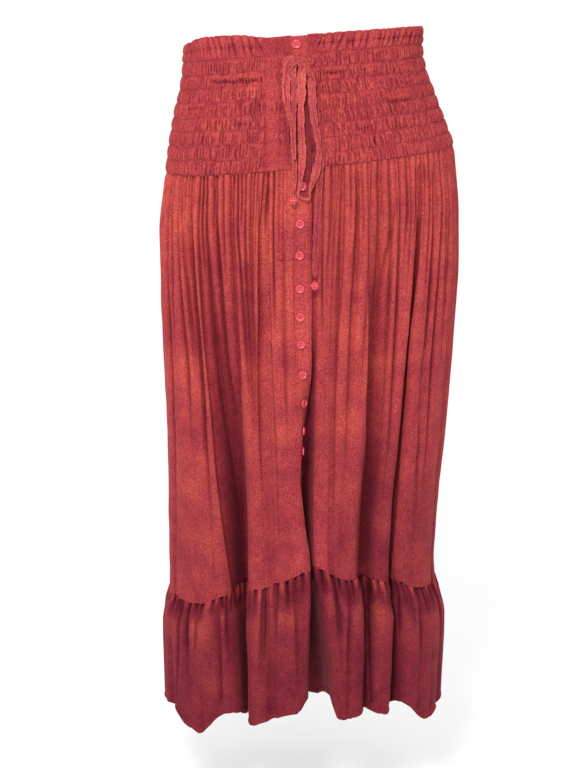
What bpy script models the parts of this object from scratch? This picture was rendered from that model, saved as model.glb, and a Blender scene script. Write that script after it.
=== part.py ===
"""Button-through maxi skirt: elastic casing, shirred yoke, gathered panels, hem flounce, tie.

The skirt hangs hollow, as worn. The origin is the centre of the waist, +Z is up and the
centre front faces -Y. Girth angles are in degrees from the centre front: 90 is the wearer's left
side (+X), 180 the centre back, 270 the wearer's right side.
Levels are one number, "drop": 0 waist edge, 1 foot of the casing, 2 foot of the shirred yoke,
3 flounce seam, 4 hem.
"""

import math

import bpy
import numpy as np

MM = 0.001

# ---------------------------------------------------------------- driving sizes
WALL = 1.2 * MM  # cloth, modelled as a firm wall
GAP = 0.3 * MM  # between pieces
BAND_WIDTH = 20.0 * MM  # finished button band
BAND_PROUD = 0.9 * MM  # the top band stands this far outside the panels
BUTTON_DIAMETER = 11.2 * MM
BUTTON_THICKNESS = 2.2 * MM
PUFF = 2.4 * MM  # how far the yoke puffs out between two elastic rows
YOKE_ROWS = 8  # bands between the elastic rows
FULLNESS = 0.10  # squareness of the body section, 0 is an ellipse
TIE_THICKNESS = 1.2 * MM

# ---------------------------------------------------------------- girth, one row a level
# drop, half width, front depth, back depth, sideways shift of the centre (mm)
GIRTH = (
    (0.00, 153.0, 100.0, 100.0, -5.0),
    (1.00, 155.0, 101.5, 101.5, -4.5),
    (1.25, 160.6, 105.0, 106.0, -3.0),
    (1.45, 169.5, 109.0, 111.0, -1.0),
    (1.70, 178.5, 113.0, 117.0, 1.0),
    (2.00, 188.0, 118.0, 124.0, 2.0),
    (2.14, 197.6, 122.0, 131.5, 2.0),
    (2.28, 199.1, 121.0, 134.0, 2.0),
    (2.46, 195.5, 118.0, 132.0, 1.5),
    (2.65, 191.2, 115.0, 130.0, -1.0),
    (2.80, 186.8, 112.0, 128.0, -4.5),
    (2.95, 185.1, 109.0, 126.0, -6.4),
    (3.00, 186.0, 109.0, 126.0, -6.0),
    (3.12, 191.5, 112.0, 129.0, -5.0),
    (3.30, 195.3, 114.0, 131.0, -4.0),
    (4.00, 194.8, 112.0, 131.0, -4.0),
)

# height of the flounce seam and of the hem round the girth: angle, seam, hem (mm)
SEAM_AND_HEM = (
    (-90.0, -757.0, -932.0),
    (-66.0, -757.0, -930.0),
    (-50.0, -756.0, -942.0),
    (-36.0, -742.0, -916.0),
    (-22.0, -727.0, -928.0),
    (-14.0, -720.0, -913.0),
    (-2.0, -701.0, -902.0),
    (6.0, -692.0, -903.0),
    (13.0, -706.0, -913.0),
    (30.0, -715.0, -908.0),
    (41.0, -720.0, -908.0),
    (55.0, -735.0, -930.0),
    (90.0, -742.0, -930.0),
    (180.0, -752.0, -934.0),
    (270.0, -757.0, -932.0),
)

# ---------------------------------------------------------------- folds, one row a fold
# kind "deep" has two lips and a floor, "soft" is a single groove.
# lips: girth angle of the first and second lip at the yoke, knee, seam and hem (degrees);
# depth at the hip, knee, seam and hem (mm)
FOLDS = (
    # kind   first lip                    second lip                   depth
    ("soft", (6.6, 5.9, 8.2, 14.1), (6.6, 5.9, 8.2, 14.1), (4.0, 2.0, 1.0, 3.0)),
    ("soft", (10.8, 8.6, 11.0, 16.2), (10.8, 8.6, 11.0, 16.2), (6.5, 6.5, 4.5, 3.0)),
    ("soft", (16.5, 15.2, 15.4, 18.3), (16.5, 15.2, 15.4, 18.3), (4.5, 2.0, 1.0, 2.0)),
    ("deep", (21.8, 21.3, 21.4, 22.2), (31.0, 29.7, 28.8, 26.6), (8.0, 15.0, 28.0, 26.0)),
    ("soft", (37.0, 34.0, 32.8, 30.4), (37.0, 34.0, 32.8, 30.4), (3.5, 1.0, 1.0, 2.0)),
    ("deep", (43.5, 38.0, 37.0, 34.6), (46.5, 40.4, 40.2, 41.5), (9.0, 17.0, 32.0, 40.0)),
    ("soft", (53.0, 48.8, 50.8, 52.0), (53.0, 48.8, 50.8, 52.0), (6.0, 7.5, 4.5, 6.0)),
    ("soft", (64.0, 59.5, 61.5, 62.5), (64.0, 59.5, 61.5, 62.5), (5.0, 2.0, 1.0, 4.0)),
    ("soft", (74.0, 72.0, 74.5, 76.0), (74.0, 72.0, 74.5, 76.0), (4.0, 6.5, 6.0, 15.0)),
    ("deep", (97.0, 98.0, 97.0, 98.0), (102.0, 103.5, 104.0, 104.0), (6.0, 12.0, 24.0, 28.0)),
    ("soft", (118.0, 119.0, 121.0, 122.0), (118.0, 119.0, 121.0, 122.0), (5.0, 6.0, 6.0, 10.0)),
    ("deep", (133.0, 135.5, 138.0, 137.0), (141.0, 145.0, 147.0, 147.0), (8.0, 18.0, 44.0, 48.0)),
    ("soft", (158.5, 158.0, 157.5, 158.0), (158.5, 158.0, 157.5, 158.0), (5.0, 6.0, 5.0, 9.0)),
    ("deep", (172.0, 173.0, 175.5, 175.0), (178.0, 181.0, 184.0, 184.0), (8.0, 15.0, 34.0, 40.0)),
    ("soft", (198.0, 199.5, 201.0, 200.5), (198.0, 199.5, 201.0, 200.5), (6.0, 8.0, 8.0, 10.0)),
    ("deep", (213.0, 212.0, 211.0, 212.0), (221.0, 221.5, 220.0, 221.0), (8.0, 19.0, 50.0, 52.0)),
    ("soft", (237.0, 238.0, 240.0, 240.0), (237.0, 238.0, 240.0, 240.0), (5.0, 6.0, 6.0, 10.0)),
    ("deep", (253.0, 255.0, 256.0, 255.0), (258.0, 261.0, 262.5, 262.0), (6.0, 11.0, 24.0, 28.0)),
    ("soft", (279.0, 277.5, 279.0, 280.0), (279.0, 277.5, 279.0, 280.0), (3.0, 3.0, 2.0, 6.0)),
    ("soft", (290.0, 292.5, 291.0, 289.5), (290.0, 292.5, 291.0, 289.5), (5.0, 4.5, 5.0, 15.0)),
    ("soft", (304.5, 313.0, 316.5, 317.0), (304.5, 313.0, 316.5, 317.0), (6.0, 4.5, 1.5, 6.0)),
    ("deep", (314.5, 320.8, 330.0, 334.8), (332.2, 335.7, 337.8, 338.2), (8.0, 20.0, 66.0, 66.0)),
    ("deep", (343.2, 343.0, 346.3, 346.0), (346.6, 347.3, 350.0, 350.0), (8.0, 8.5, 6.0, 8.0)),
)
SIDE_SEAMS = (90.0, 270.0)

# ---------------------------------------------------------------- the front opening, one row a level
# drop; angle of the band's stitched edge; how far the band turns inward (degrees);
# then angle and inset (mm) of: the under band's free edge, its inner edge, the floor of the
# valley beside it, the valley's left wall, its lip, and the shoulder of the next fold
OPENING = (
    (2.00, -5.3, 0.0, -5.0, 0.7, 0.35, 0.8, 1.2, 1.0, 1.8, 0.9, 2.4, 0.6, 3.6, 0.2),
    (2.12, -5.3, 0.0, -5.1, 0.7, 0.55, 1.4, 1.1, 5.5, 1.5, 4.2, 1.9, 1.6, 3.2, 0.2),
    (2.35, -5.0, 1.0, -4.7, 0.9, 0.60, 1.8, 1.1, 7.0, 1.9, 5.0, 2.4, 1.8, 3.8, 0.2),
    (2.46, -4.6, 14.0, -4.6, 2.1, 0.35, 6.5, 0.9, 15.0, 2.0, 9.0, 2.6, 2.6, 4.2, 0.3),
    (2.56, -3.6, 56.0, -4.4, 2.8, -0.85, 18.2, -0.1, 27.0, 1.8, 15.0, 2.3, 3.4, 4.0, 0.4),
    (2.65, -3.1, 84.0, -4.2, 3.8, -2.90, 22.5, -1.2, 36.0, 1.9, 22.0, 2.5, 4.6, 4.3, 0.6),
    (2.75, -2.9, 90.0, -4.6, 15.0, -3.40, 35.0, -0.7, 44.0, 2.1, 28.0, 2.7, 5.6, 4.8, 0.8),
    (2.87, -0.9, 88.0, -4.8, 28.0, -3.00, 46.0, -0.2, 52.0, 2.5, 32.0, 3.1, 6.4, 5.3, 1.0),
    (3.00, 1.5, 84.0, -4.8, 36.0, -2.20, 53.0, 0.6, 59.0, 3.0, 35.0, 3.7, 7.5, 5.8, 1.2),
    (3.35, 0.9, 84.0, -6.5, 52.0, -2.50, 66.0, 2.0, 70.0, 5.4, 44.0, 6.6, 11.0, 9.2, 1.8),
    (4.00, -0.8, 70.0, -8.5, 74.0, -3.00, 80.0, 4.3, 80.0, 8.5, 55.0, 10.2, 16.0, 12.4, 2.5),
)

# buttons, one row each: height of its centre, and its place across the band from the stitched edge (mm)
BUTTONS = (
    (-4.5, 6.8),
    (-48.0, 7.6),
    (-91.0, 8.4),
    (-135.0, 9.0),
    (-178.0, 9.2),
    (-225.0, 7.4),
    (-265.0, 6.8),
    (-308.0, 6.8),
    (-345.0, 6.8),
    (-381.0, 6.8),
    (-422.0, 6.8),
    (-461.0, 6.8),
    (-499.0, 6.8),
    (-527.0, 6.8),
)

# ---------------------------------------------------------------- the tie, one row a point of its route
# across (x), height (z), lift off the body, width (mm), turn of the strip about its run (degrees)
LOOP_RIGHT = (
    (-26.5, -33.0, 6.4, 6.0, 10),
    (-27.6, -42.0, 6.6, 8.5, 5),
    (-28.0, -52.0, 6.8, 10.0, 0),
    (-27.5, -66.0, 6.8, 10.5, 0),
    (-27.2, -81.0, 6.8, 10.0, 0),
    (-27.2, -96.0, 6.8, 9.5, 0),
    (-26.4, -112.0, 6.8, 8.6, 10),
    (-25.0, -126.0, 6.8, 6.4, 30),
    (-23.4, -137.0, 6.8, 4.8, 50),
    (-20.4, -143.0, 6.8, 4.4, 70),
    (-17.2, -138.0, 7.0, 4.4, 60),
    (-16.8, -127.0, 7.4, 4.8, 45),
    (-17.6, -112.0, 7.8, 5.0, 40),
    (-18.8, -96.0, 8.0, 5.0, 40),
    (-19.4, -81.0, 8.2, 5.0, 35),
    (-19.4, -66.0, 8.4, 6.0, 20),
    (-18.6, -52.0, 8.8, 6.5, 10),
    (-17.4, -42.0, 9.0, 6.0, 0),
    (-16.8, -33.0, 9.2, 5.5, 0),
)
LOOP_LEFT = (
    (-3.0, -33.0, 6.6, 6.0, 10),
    (1.6, -42.0, 7.0, 9.0, 10),
    (4.3, -51.0, 7.2, 11.0, 0),
    (4.9, -66.0, 7.2, 12.0, 0),
    (5.9, -84.0, 7.0, 12.0, 0),
    (8.8, -102.0, 6.8, 10.0, 0),
    (11.2, -120.0, 6.6, 8.5, 0),
    (12.0, -133.0, 6.6, 8.5, 0),
    (10.9, -146.0, 6.6, 10.0, 0),
    (8.5, -160.0, 6.4, 10.5, 0),
    (6.4, -174.0, 6.6, 9.0, 8),
    (3.6, -185.0, 6.8, 6.8, 30),
    (-0.8, -192.6, 6.8, 5.6, 62),
    (-5.9, -194.6, 6.8, 5.4, 80),
    (-10.6, -191.6, 6.8, 5.4, 62),
    (-12.2, -183.0, 6.8, 5.6, 35),
    (-11.0, -170.5, 6.6, 6.5, 15),
    (-9.1, -155.0, 6.4, 7.5, 0),
    (-8.2, -140.0, 6.6, 10.0, 0),
    (-8.5, -127.0, 7.0, 9.5, 0),
    (-8.8, -112.0, 7.4, 7.0, 20),
    (-8.6, -98.0, 7.8, 5.5, 35),
    (-8.8, -86.0, 8.2, 6.5, 20),
    (-8.6, -73.5, 8.6, 10.0, 0),
    (-8.1, -61.5, 8.8, 11.0, 0),
    (-7.6, -50.0, 8.8, 10.5, 0),
    (-8.2, -40.0, 8.6, 7.0, 0),
    (-9.8, -33.0, 8.4, 5.5, 0),
)
TAIL_RIGHT = (
    (-21.5, -33.0, 2.4, 5.0, 0),
    (-23.6, -48.0, 2.4, 5.6, 0),
    (-22.6, -62.0, 2.4, 6.2, 0),
    (-20.4, -90.0, 2.4, 6.6, 0),
    (-19.0, -120.0, 2.4, 7.0, 0),
    (-18.4, -140.0, 2.4, 6.8, 0),
    (-17.9, -155.0, 2.4, 6.4, 0),
    (-17.8, -170.0, 2.4, 6.0, 0),
    (-18.8, -186.4, 2.9, 4.5, 0),
)
TAIL_LEFT = (
    (-5.0, -33.0, 2.4, 5.0, 0),
    (2.6, -59.0, 2.4, 7.0, 0),
    (9.0, -90.0, 2.4, 8.0, 0),
    (13.0, -118.0, 2.4, 8.5, 0),
    (14.4, -145.0, 2.4, 8.5, 0),
    (13.6, -170.0, 2.4, 8.5, 0),
    (12.0, -195.0, 2.4, 8.0, 0),
    (10.2, -222.0, 2.4, 8.0, 0),
    (9.0, -250.0, 2.4, 8.0, 0),
    (8.4, -275.0, 2.5, 7.5, 0),
    (8.0, -294.4, 3.2, 5.0, 0),
)
BEADS = (
    # node, across, height, lift (mm)
    ("bead_right", -19.1, -194.6, 7.8),
    ("bead_left", 7.6, -302.6, 7.8),
)
KNOT = dict(across=-14.6, height=-26.4, lift=6.4, half_width=13.6, half_height=5.4, half_depth=5.0)

CLOTH_SECTIONS = (2.0, 2.06, 2.2, 2.38, 2.48, 2.6, 2.78, 3.0)
FLOUNCE_SECTIONS = (3.0, 3.1, 3.45, 4.0)


# ---------------------------------------------------------------- small mathematics
def table(rows, column, at):
    """Smooth curve without overshoot through one column of a table, read at `at`."""
    data = np.array(rows, float)
    xs, ys = data[:, 0], data[:, column]
    at = np.asarray(at, float)
    h = np.diff(xs)
    slope = np.diff(ys) / h
    m = np.empty_like(ys)
    m[0], m[-1] = slope[0], slope[-1]
    for i in range(1, len(xs) - 1):
        a, b = slope[i - 1], slope[i]
        m[i] = 0.0 if a * b <= 0 else 2 * a * b / (a + b)
    i = np.clip(np.searchsorted(xs, at, side="right") - 1, 0, len(xs) - 2)
    t = np.clip((at - xs[i]) / h[i], 0.0, 1.0)
    return (
        ys[i] * (1 + 2 * t) * (1 - t) ** 2
        + m[i] * h[i] * t * (1 - t) ** 2
        + ys[i + 1] * t * t * (3 - 2 * t)
        + m[i + 1] * h[i] * t * t * (t - 1)
    )


def ease(x):
    x = min(max(x, 0.0), 1.0)
    return x * x * (3 - 2 * x)


def girth_point(drop, deg):
    """Point of the smooth body section, and its outward and sideways unit vectors."""
    a, front, back, shift = (float(table(GIRTH, c, drop)) * MM for c in (1, 2, 3, 4))

    def at(d):
        s, c = math.sin(math.radians(d)), math.cos(math.radians(d))
        depth = front if c > 0 else back
        return np.array([shift + a * s * (1 + FULLNESS * c * c), -depth * c * (1 + FULLNESS * s * s)])

    p = at(deg)
    t = at(deg + 0.05) - at(deg - 0.05)
    t /= np.linalg.norm(t)
    return p, np.array([t[1], -t[0]]), t


def mm_per_degree(drop, deg):
    a, _, _ = girth_point(drop, deg - 0.5)
    b, _, _ = girth_point(drop, deg + 0.5)
    return float(np.linalg.norm(b - a)) / MM


def level(drop, x, y, deg_seam=0.0, deg_hem=0.0):
    """Height of a point: the waist and yoke levels are tilted planes, the seam and hem wave."""
    rim = 0.0745 * x - 0.065 * y
    casing = -22.0 * MM + 0.075 * x - 0.060 * y
    yoke = -155.5 * MM + 0.097 * x

    def wrap(d):
        return (d + 90.0) % 360.0 - 90.0

    if drop <= 1:
        return rim + (casing - rim) * drop
    if drop <= 2:
        return casing + (yoke - casing) * (drop - 1)
    seam = float(table(SEAM_AND_HEM, 1, wrap(deg_seam))) * MM
    if drop <= 3:
        return yoke + (seam - yoke) * (drop - 2)
    hem = float(table(SEAM_AND_HEM, 2, wrap(deg_hem))) * MM
    return seam + (hem - seam) * (drop - 3)


def over_drop(values, drop):
    """A fold's four lip angles (yoke, knee, seam, hem) read at a level."""
    rows = [(2.0, values[0]), (2.46, values[1]), (3.0, values[2]), (4.0, values[3])]
    return float(table(rows, 1, drop))


def depth_over_drop(values, drop):
    """A fold's four depths (hip, knee, seam, hem) read at a level; nothing at the yoke."""
    rows = [(2.0, 0.0), (2.05, 0.45 * values[0]), (2.22, values[0]), (2.46, values[1]), (3.0, values[2]), (4.0, values[3])]
    return float(table(rows, 1, drop))


# ---------------------------------------------------------------- one section of the gathered cloth
def section(drop):
    """Control points (x, y, z) of one level, from the left panel's front edge round the back to
    the stitched edge of the right panel, and the index of each side seam."""

    def at_drop(d):
        pts = []
        o = [float(table(OPENING, c, d)) for c in range(1, 15)]
        pts.append(("edge", o[4], o[5]))
        for k in (6, 8, 10, 12):
            pts.append(("opening", o[k], o[k + 1]))
        previous = None
        marks = list(FOLDS)
        start = o[12]
        seams = list(SIDE_SEAMS)
        items = []
        for kind, first, second, depth in marks:
            lo, hi = over_drop(first, d), over_drop(second, d)
            deep = depth_over_drop(depth, d)
            per = mm_per_degree(3.0, lo)
            if kind == "soft":
                half = (2.4 + 0.35 * deep) / per
                items.append([(lo - half, 0.0), (lo, deep), (lo + half, 0.0)])
            else:
                out = (2.0 + min(0.22 * deep, 7.0)) / per
                wall = min(0.16 * (hi - lo), 2.0)
                mid = 0.5 * (lo + hi)
                items.append(
                    [
                        (lo - out, 0.0),
                        (lo, 0.12 * deep),
                        (lo + wall, 0.74 * deep),
                        (mid, 1.04 * deep),
                        (hi - wall, 0.74 * deep),
                        (hi, 0.12 * deep),
                        (hi + out, 0.0),
                    ]
                )
        means = [0.5 * (sum(f[1]) + sum(f[2])) / 4 for f in marks]
        last = start
        count = 0
        for n, rows in enumerate(items):
            first_deg = rows[0][0]
            between = [s for s in seams if (means[n - 1] if n else 0.0) < s < means[n]]
            stops = between + [None]
            lower = last
            for s in stops:
                upper = first_deg if s is None else s
                room = (means[n] if s is None else s) - (
                    (means[n - 1] if n else 3.0) if lower == last else lower
                )
                extra = 0 if room < 7.0 else (1 if room < 15 else 2)
                for e in range(extra):
                    pts.append(("crown", lower + (upper - lower) * (e + 1) / (extra + 1), 0.0))
                if s is not None:
                    pts.append(("seam", s, 0.0))
                    lower = s
            for deg, inset in rows:
                pts.append(("fold", deg, inset))
            last = rows[-1][0]
            count += 1
        end = 360.0 + o[0]
        pts.append(("crown", last + (end - last) * 0.55, 0.0))
        pts.append(("stitch", end, 0.0))
        return pts

    here = at_drop(drop)
    at_seam = at_drop(min(max(drop, 3.0), 3.0))
    at_hem = at_drop(4.0)
    points, seams = [], []
    for i, (kind, deg, inset) in enumerate(here):
        p, n, _ = girth_point(drop, deg)
        p = p - n * inset * MM
        z = level(drop, p[0], p[1], at_seam[i][1], at_hem[i][1])
        points.append((p[0], p[1], z))
        if kind == "seam":
            seams.append(i)
    return np.array(points), seams


def read_curve(control, u):
    """Cubic B-spline through the middle of the control points, ending on the first and last."""
    c = np.vstack([2 * control[0] - control[1], control, 2 * control[-1] - control[-2]])
    i = np.clip(np.floor(u).astype(int), 0, len(control) - 2)
    t = (np.asarray(u) - i)[:, None]
    a, b, d, e = c[i], c[i + 1], c[i + 2], c[np.minimum(i + 3, len(c) - 1)]
    return (
        a * (1 - t) ** 3 + b * (3 * t**3 - 6 * t**2 + 4) + d * (-3 * t**3 + 3 * t**2 + 3 * t + 1) + e * t**3
    ) / 6.0


def outward(points):
    """Level unit normals of an open section, on its outer side."""
    flat = points[:, :2]
    t = np.empty_like(flat)
    t[1:-1] = flat[2:] - flat[:-2]
    t[0], t[-1] = flat[1] - flat[0], flat[-1] - flat[-2]
    t /= np.maximum(np.linalg.norm(t, axis=1), 1e-9)[:, None]
    return np.column_stack([t[:, 1], -t[:, 0], np.zeros(len(t))])


def joint_normal(before, after):
    """One normal for the line where two sections meet, halfway between theirs."""
    a, b = before[-1] - before[-2], after[1] - after[0]
    t = a[:2] / np.linalg.norm(a[:2]) + b[:2] / np.linalg.norm(b[:2])
    t /= np.linalg.norm(t)
    return np.array([t[1], -t[0], 0.0])


def under_band_line(drop, columns=4):
    """The under band's section: free edge first, ending where the left panel starts."""
    rows = []
    if drop < 2.0:
        a0, i0 = opening_at(drop, 1) + 0.35, 0.7
        a1, i1 = left_start(drop), 0.8
    else:
        a0, i0, a1, i1 = (opening_at(drop, c) for c in (3, 4, 5, 6))
    for k in range(columns):
        w = k / (columns - 1)
        p, n, _ = girth_point(drop, a0 + (a1 - a0) * w)
        p = p - n * (i0 + (i1 - i0) * w) * MM
        rows.append((p[0], p[1], level(drop, p[0], p[1], opening_at(3.0, 3), opening_at(3.0, 3))))
    return np.array(rows)


def left_start(drop):
    """Girth angle where the left side's cloth comes out from under the top band's edge."""
    x = band_line(drop, 0.0)[-1][0]
    a = float(table(GIRTH, 1, drop)) * MM * (1 + FULLNESS)
    shift = float(table(GIRTH, 4, drop)) * MM
    return math.degrees(math.asin((x + 0.5 * MM - shift) / a))


def ripple(points, amount):
    """Small gathers: every other column moves out and in, less where the cloth is crowded."""
    n = outward(points)
    step = np.linalg.norm(np.diff(points[:, :2], axis=0), axis=1)
    room = np.empty(len(points))
    room[1:-1] = np.minimum(step[1:], step[:-1])
    room[0] = room[-1] = 0.0
    sign = np.where(np.arange(len(points)) % 2 == 0, 1.0, -1.0)
    return points + n * (sign * amount * np.clip((room - 3 * MM) / (6 * MM), 0, 1))[:, None]


# ---------------------------------------------------------------- closed cloth walls
def wall(name, sections, material, thickness=WALL, normals=None):
    """A closed wall from outer sections (top first); the inner face is a wall's thickness in."""
    outer = [np.asarray(s) for s in sections]
    if normals is None:
        normals = [outward(s) for s in outer]
    inner = [s - n * thickness for s, n in zip(outer, normals)]
    rows, cols = len(outer), len(outer[0])
    verts = np.vstack(outer + inner)
    m = rows * cols

    def o(r, c):
        return r * cols + c

    def i(r, c):
        return m + r * cols + c

    faces = []
    for r in range(rows - 1):
        for c in range(cols - 1):
            faces.append((o(r, c), o(r + 1, c), o(r + 1, c + 1), o(r, c + 1)))
            faces.append((i(r, c), i(r, c + 1), i(r + 1, c + 1), i(r + 1, c)))
    for c in range(cols - 1):
        faces.append((o(0, c), o(0, c + 1), i(0, c + 1), i(0, c)))
        faces.append((o(rows - 1, c), i(rows - 1, c), i(rows - 1, c + 1), o(rows - 1, c + 1)))
    for r in range(rows - 1):
        faces.append((o(r, 0), i(r, 0), i(r + 1, 0), o(r + 1, 0)))
        faces.append((o(r, cols - 1), o(r + 1, cols - 1), i(r + 1, cols - 1), i(r, cols - 1)))
    return add(name, verts, faces, material)


def add(name, verts, faces, material):
    mesh = bpy.data.meshes.new(name)
    mesh.from_pydata([tuple(v) for v in verts], [], faces)
    mesh.validate()
    mesh.materials.append(material)
    obj = bpy.data.objects.new(name, mesh)
    bpy.context.scene.collection.objects.link(obj)
    mesh.shade_smooth()
    mesh.set_sharp_from_angle(angle=math.radians(35))
    return obj


def make_material(name, colour, roughness, metallic=0.0):
    m = bpy.data.materials.new(name)
    m.use_nodes = True
    s = m.node_tree.nodes["Principled BSDF"]
    s.inputs["Base Color"].default_value = (*colour, 1.0)
    s.inputs["Roughness"].default_value = roughness
    s.inputs["Metallic"].default_value = metallic
    m.diffuse_color = (*colour, 1.0)
    return m


def trim(points, first=0.0, last=0.0):
    """Draw in the ends of an open section along itself."""
    p = points.copy()
    if first:
        d = p[1] - p[0]
        p[0] = p[0] + d / np.linalg.norm(d) * first
    if last:
        d = p[-2] - p[-1]
        p[-1] = p[-1] + d / np.linalg.norm(d) * last
    return p


# ---------------------------------------------------------------- the button bands
def opening_at(drop, column):
    """The opening's table, held at its yoke row above the yoke but a band's width wide."""
    if drop < 2.0:
        base = float(table(OPENING, column, 2.0))
        if column == 1:
            return -2.55 - 0.5 * BAND_WIDTH / MM / mm_per_degree(drop, 0.0)
        return base
    return float(table(OPENING, column, drop))


def band_line(drop, inset):
    """The band's section: from its stitched edge along the body, turning inward lower down."""
    start = opening_at(drop, 1)
    turn = math.radians(opening_at(drop, 2))
    p, n, t = girth_point(drop, start)
    n0 = n
    p = p - n * inset
    pts = [p.copy()]
    steps = 12
    step = BAND_WIDTH / steps
    for k in range(steps):
        v = (k + 0.5) / steps
        a = turn * ease(v * 3.2) + math.radians(3.0) * v
        d = math.cos(a) * t - math.sin(a) * n0
        p = p + d * step
        pts.append(p.copy())
    return np.array(pts)


def band_sections(inset, drops, columns=(0, 3, 7, 12), lift=0.0):
    out = []
    for d in drops:
        line = band_line(d, 0.0)
        seam_deg = opening_at(3.0, 1)
        xyz = []
        for k in columns:
            x, y = line[k]
            xyz.append((x, y, level(d, x, y, seam_deg, seam_deg)))
        xyz = np.array(xyz)
        n = outward(xyz)
        xyz = xyz - n * inset
        xyz[:, 2] += lift
        out.append(xyz)
    return out


# ---------------------------------------------------------------- buttons
def button_master(material):
    """Lathe a four-hole button: rounded edge, raised rim, dished middle."""
    r = BUTTON_DIAMETER / 2
    t = BUTTON_THICKNESS
    profile = ((0.88 * r, 0.0), (r, 0.45 * t), (0.88 * r, t), (0.66 * r, 0.68 * t))
    segments = 14
    verts, faces = [(0, 0, 0)], []
    for radius, height in profile:
        for k in range(segments):
            a = 2 * math.pi * k / segments
            verts.append((radius * math.cos(a), radius * math.sin(a), height))
    top = len(verts)
    verts.append((0, 0, profile[-1][1]))
    for k in range(segments):
        n = (k + 1) % segments
        faces.append((0, 1 + n, 1 + k))
        for ring in range(len(profile) - 1):
            a, b = 1 + ring * segments, 1 + (ring + 1) * segments
            faces.append((a + k, a + n, b + n, b + k))
        a = 1 + (len(profile) - 1) * segments
        faces.append((a + k, a + n, top))
    body = add("button_blank", verts, faces, material)
    holes = []
    for sx in (-1, 1):
        for sy in (-1, 1):
            h, c = 0.6 * MM, 1.25 * MM
            v, f = [], []
            for z in (-1 * MM, 4 * MM):
                for k in range(4):
                    a = math.pi / 2 * (k + 0.5)
                    v.append((sx * c + h * math.cos(a), sy * c + h * math.sin(a), z))
            f.append(tuple(reversed(range(4))))
            f.append(tuple(range(4, 8)))
            for k in range(4):
                n = (k + 1) % 4
                f.append((k, n, 4 + n, 4 + k))
            cut = add("button_hole", v, f, material)
            mod = body.modifiers.new("hole", "BOOLEAN")
            mod.operation = "DIFFERENCE"
            mod.solver = "EXACT"
            mod.object = cut
            holes.append(cut)
    bpy.context.view_layer.update()
    shape = bpy.data.meshes.new_from_object(body.evaluated_get(bpy.context.evaluated_depsgraph_get()))
    shape.name = "button_shape"
    for o in [body] + holes:
        bpy.data.objects.remove(o, do_unlink=True)
    return shape


def drop_of_height(z):
    """The level whose band passes a height."""
    lo, hi = 0.0, 3.0
    for _ in range(40):
        mid = 0.5 * (lo + hi)
        line = band_line(mid, 0.0)
        x, y = line[4]
        if level(mid, x, y, opening_at(3.0, 1), 0.0) > z:
            lo = mid
        else:
            hi = mid
    return 0.5 * (lo + hi)


def surface_frame(points_by_row):
    return np.array(points_by_row)


# ---------------------------------------------------------------- the tie
def body_front(x, z):
    """The front of the body at a place across and a height: point and outward normal."""
    lo, hi = 0.0, 3.0
    for _ in range(32):
        drop = 0.5 * (lo + hi)
        a = float(table(GIRTH, 1, drop)) * MM * (1 + FULLNESS)
        shift = float(table(GIRTH, 4, drop)) * MM
        deg = math.degrees(math.asin(max(-1, min(1, (x - shift) / a))))
        p, n, _ = girth_point(drop, deg)
        if level(drop, p[0], p[1], deg, deg) > z:
            lo = drop
        else:
            hi = drop
    return np.array([p[0], p[1], z]), np.array([n[0], n[1], 0.0])


def strip(name, route, material, thickness=TIE_THICKNESS, spacing=4.0 * MM):
    """A flat strip along a smooth curve through its route's rows."""
    rows = np.array(route, float)
    keys = np.arange(len(rows), dtype=float)
    length = np.concatenate([[0], np.cumsum(np.linalg.norm(np.diff(rows[:, :2], axis=0), axis=1))])
    count = max(6, int(round(length[-1] * MM / spacing)))
    at = np.interp(np.linspace(0, length[-1], count + 1), length, keys)
    padded = np.vstack([2 * rows[0] - rows[1], rows, 2 * rows[-1] - rows[-2]])
    pts = []
    for u in at:
        i = min(int(u), len(rows) - 2)
        t = u - i
        p0, p1, p2, p3 = padded[i : i + 4]
        pts.append(0.5 * (2 * p1 + (p2 - p0) * t + (2 * p0 - 5 * p1 + 4 * p2 - p3) * t**2 + (3 * p1 - p0 - 3 * p2 + p3) * t**3))
    pts = np.array(pts)
    centre, normal = [], []
    for x, z, lift, _, _ in pts:
        p, n = body_front(x * MM, z * MM)
        centre.append(p + n * lift * MM)
        normal.append(n)
    centre, normal = np.array(centre), np.array(normal)
    run = np.gradient(centre, axis=0)
    run /= np.linalg.norm(run, axis=1)[:, None]
    verts, faces = [], []
    for p, n, r, (_, _, _, width, turn) in zip(centre, normal, run, pts):
        side = np.cross(r, n)
        side /= np.linalg.norm(side)
        up = np.cross(side, r)
        a = math.radians(turn)
        w = math.cos(a) * side + math.sin(a) * up
        f = np.cross(w, r)
        f /= np.linalg.norm(f)
        hw, ht = 0.5 * width * MM, 0.5 * thickness
        verts += [p - w * hw - f * ht, p + w * hw - f * ht, p + w * hw + f * ht, p - w * hw + f * ht]
    n = len(centre)
    for k in range(n - 1):
        a, b = 4 * k, 4 * (k + 1)
        for j in range(4):
            m = (j + 1) % 4
            faces.append((a + j, b + j, b + m, a + m))
    faces.append((0, 1, 2, 3))
    faces.append(tuple(4 * (n - 1) + j for j in (3, 2, 1, 0)))
    return add(name, verts, faces, material)


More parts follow.
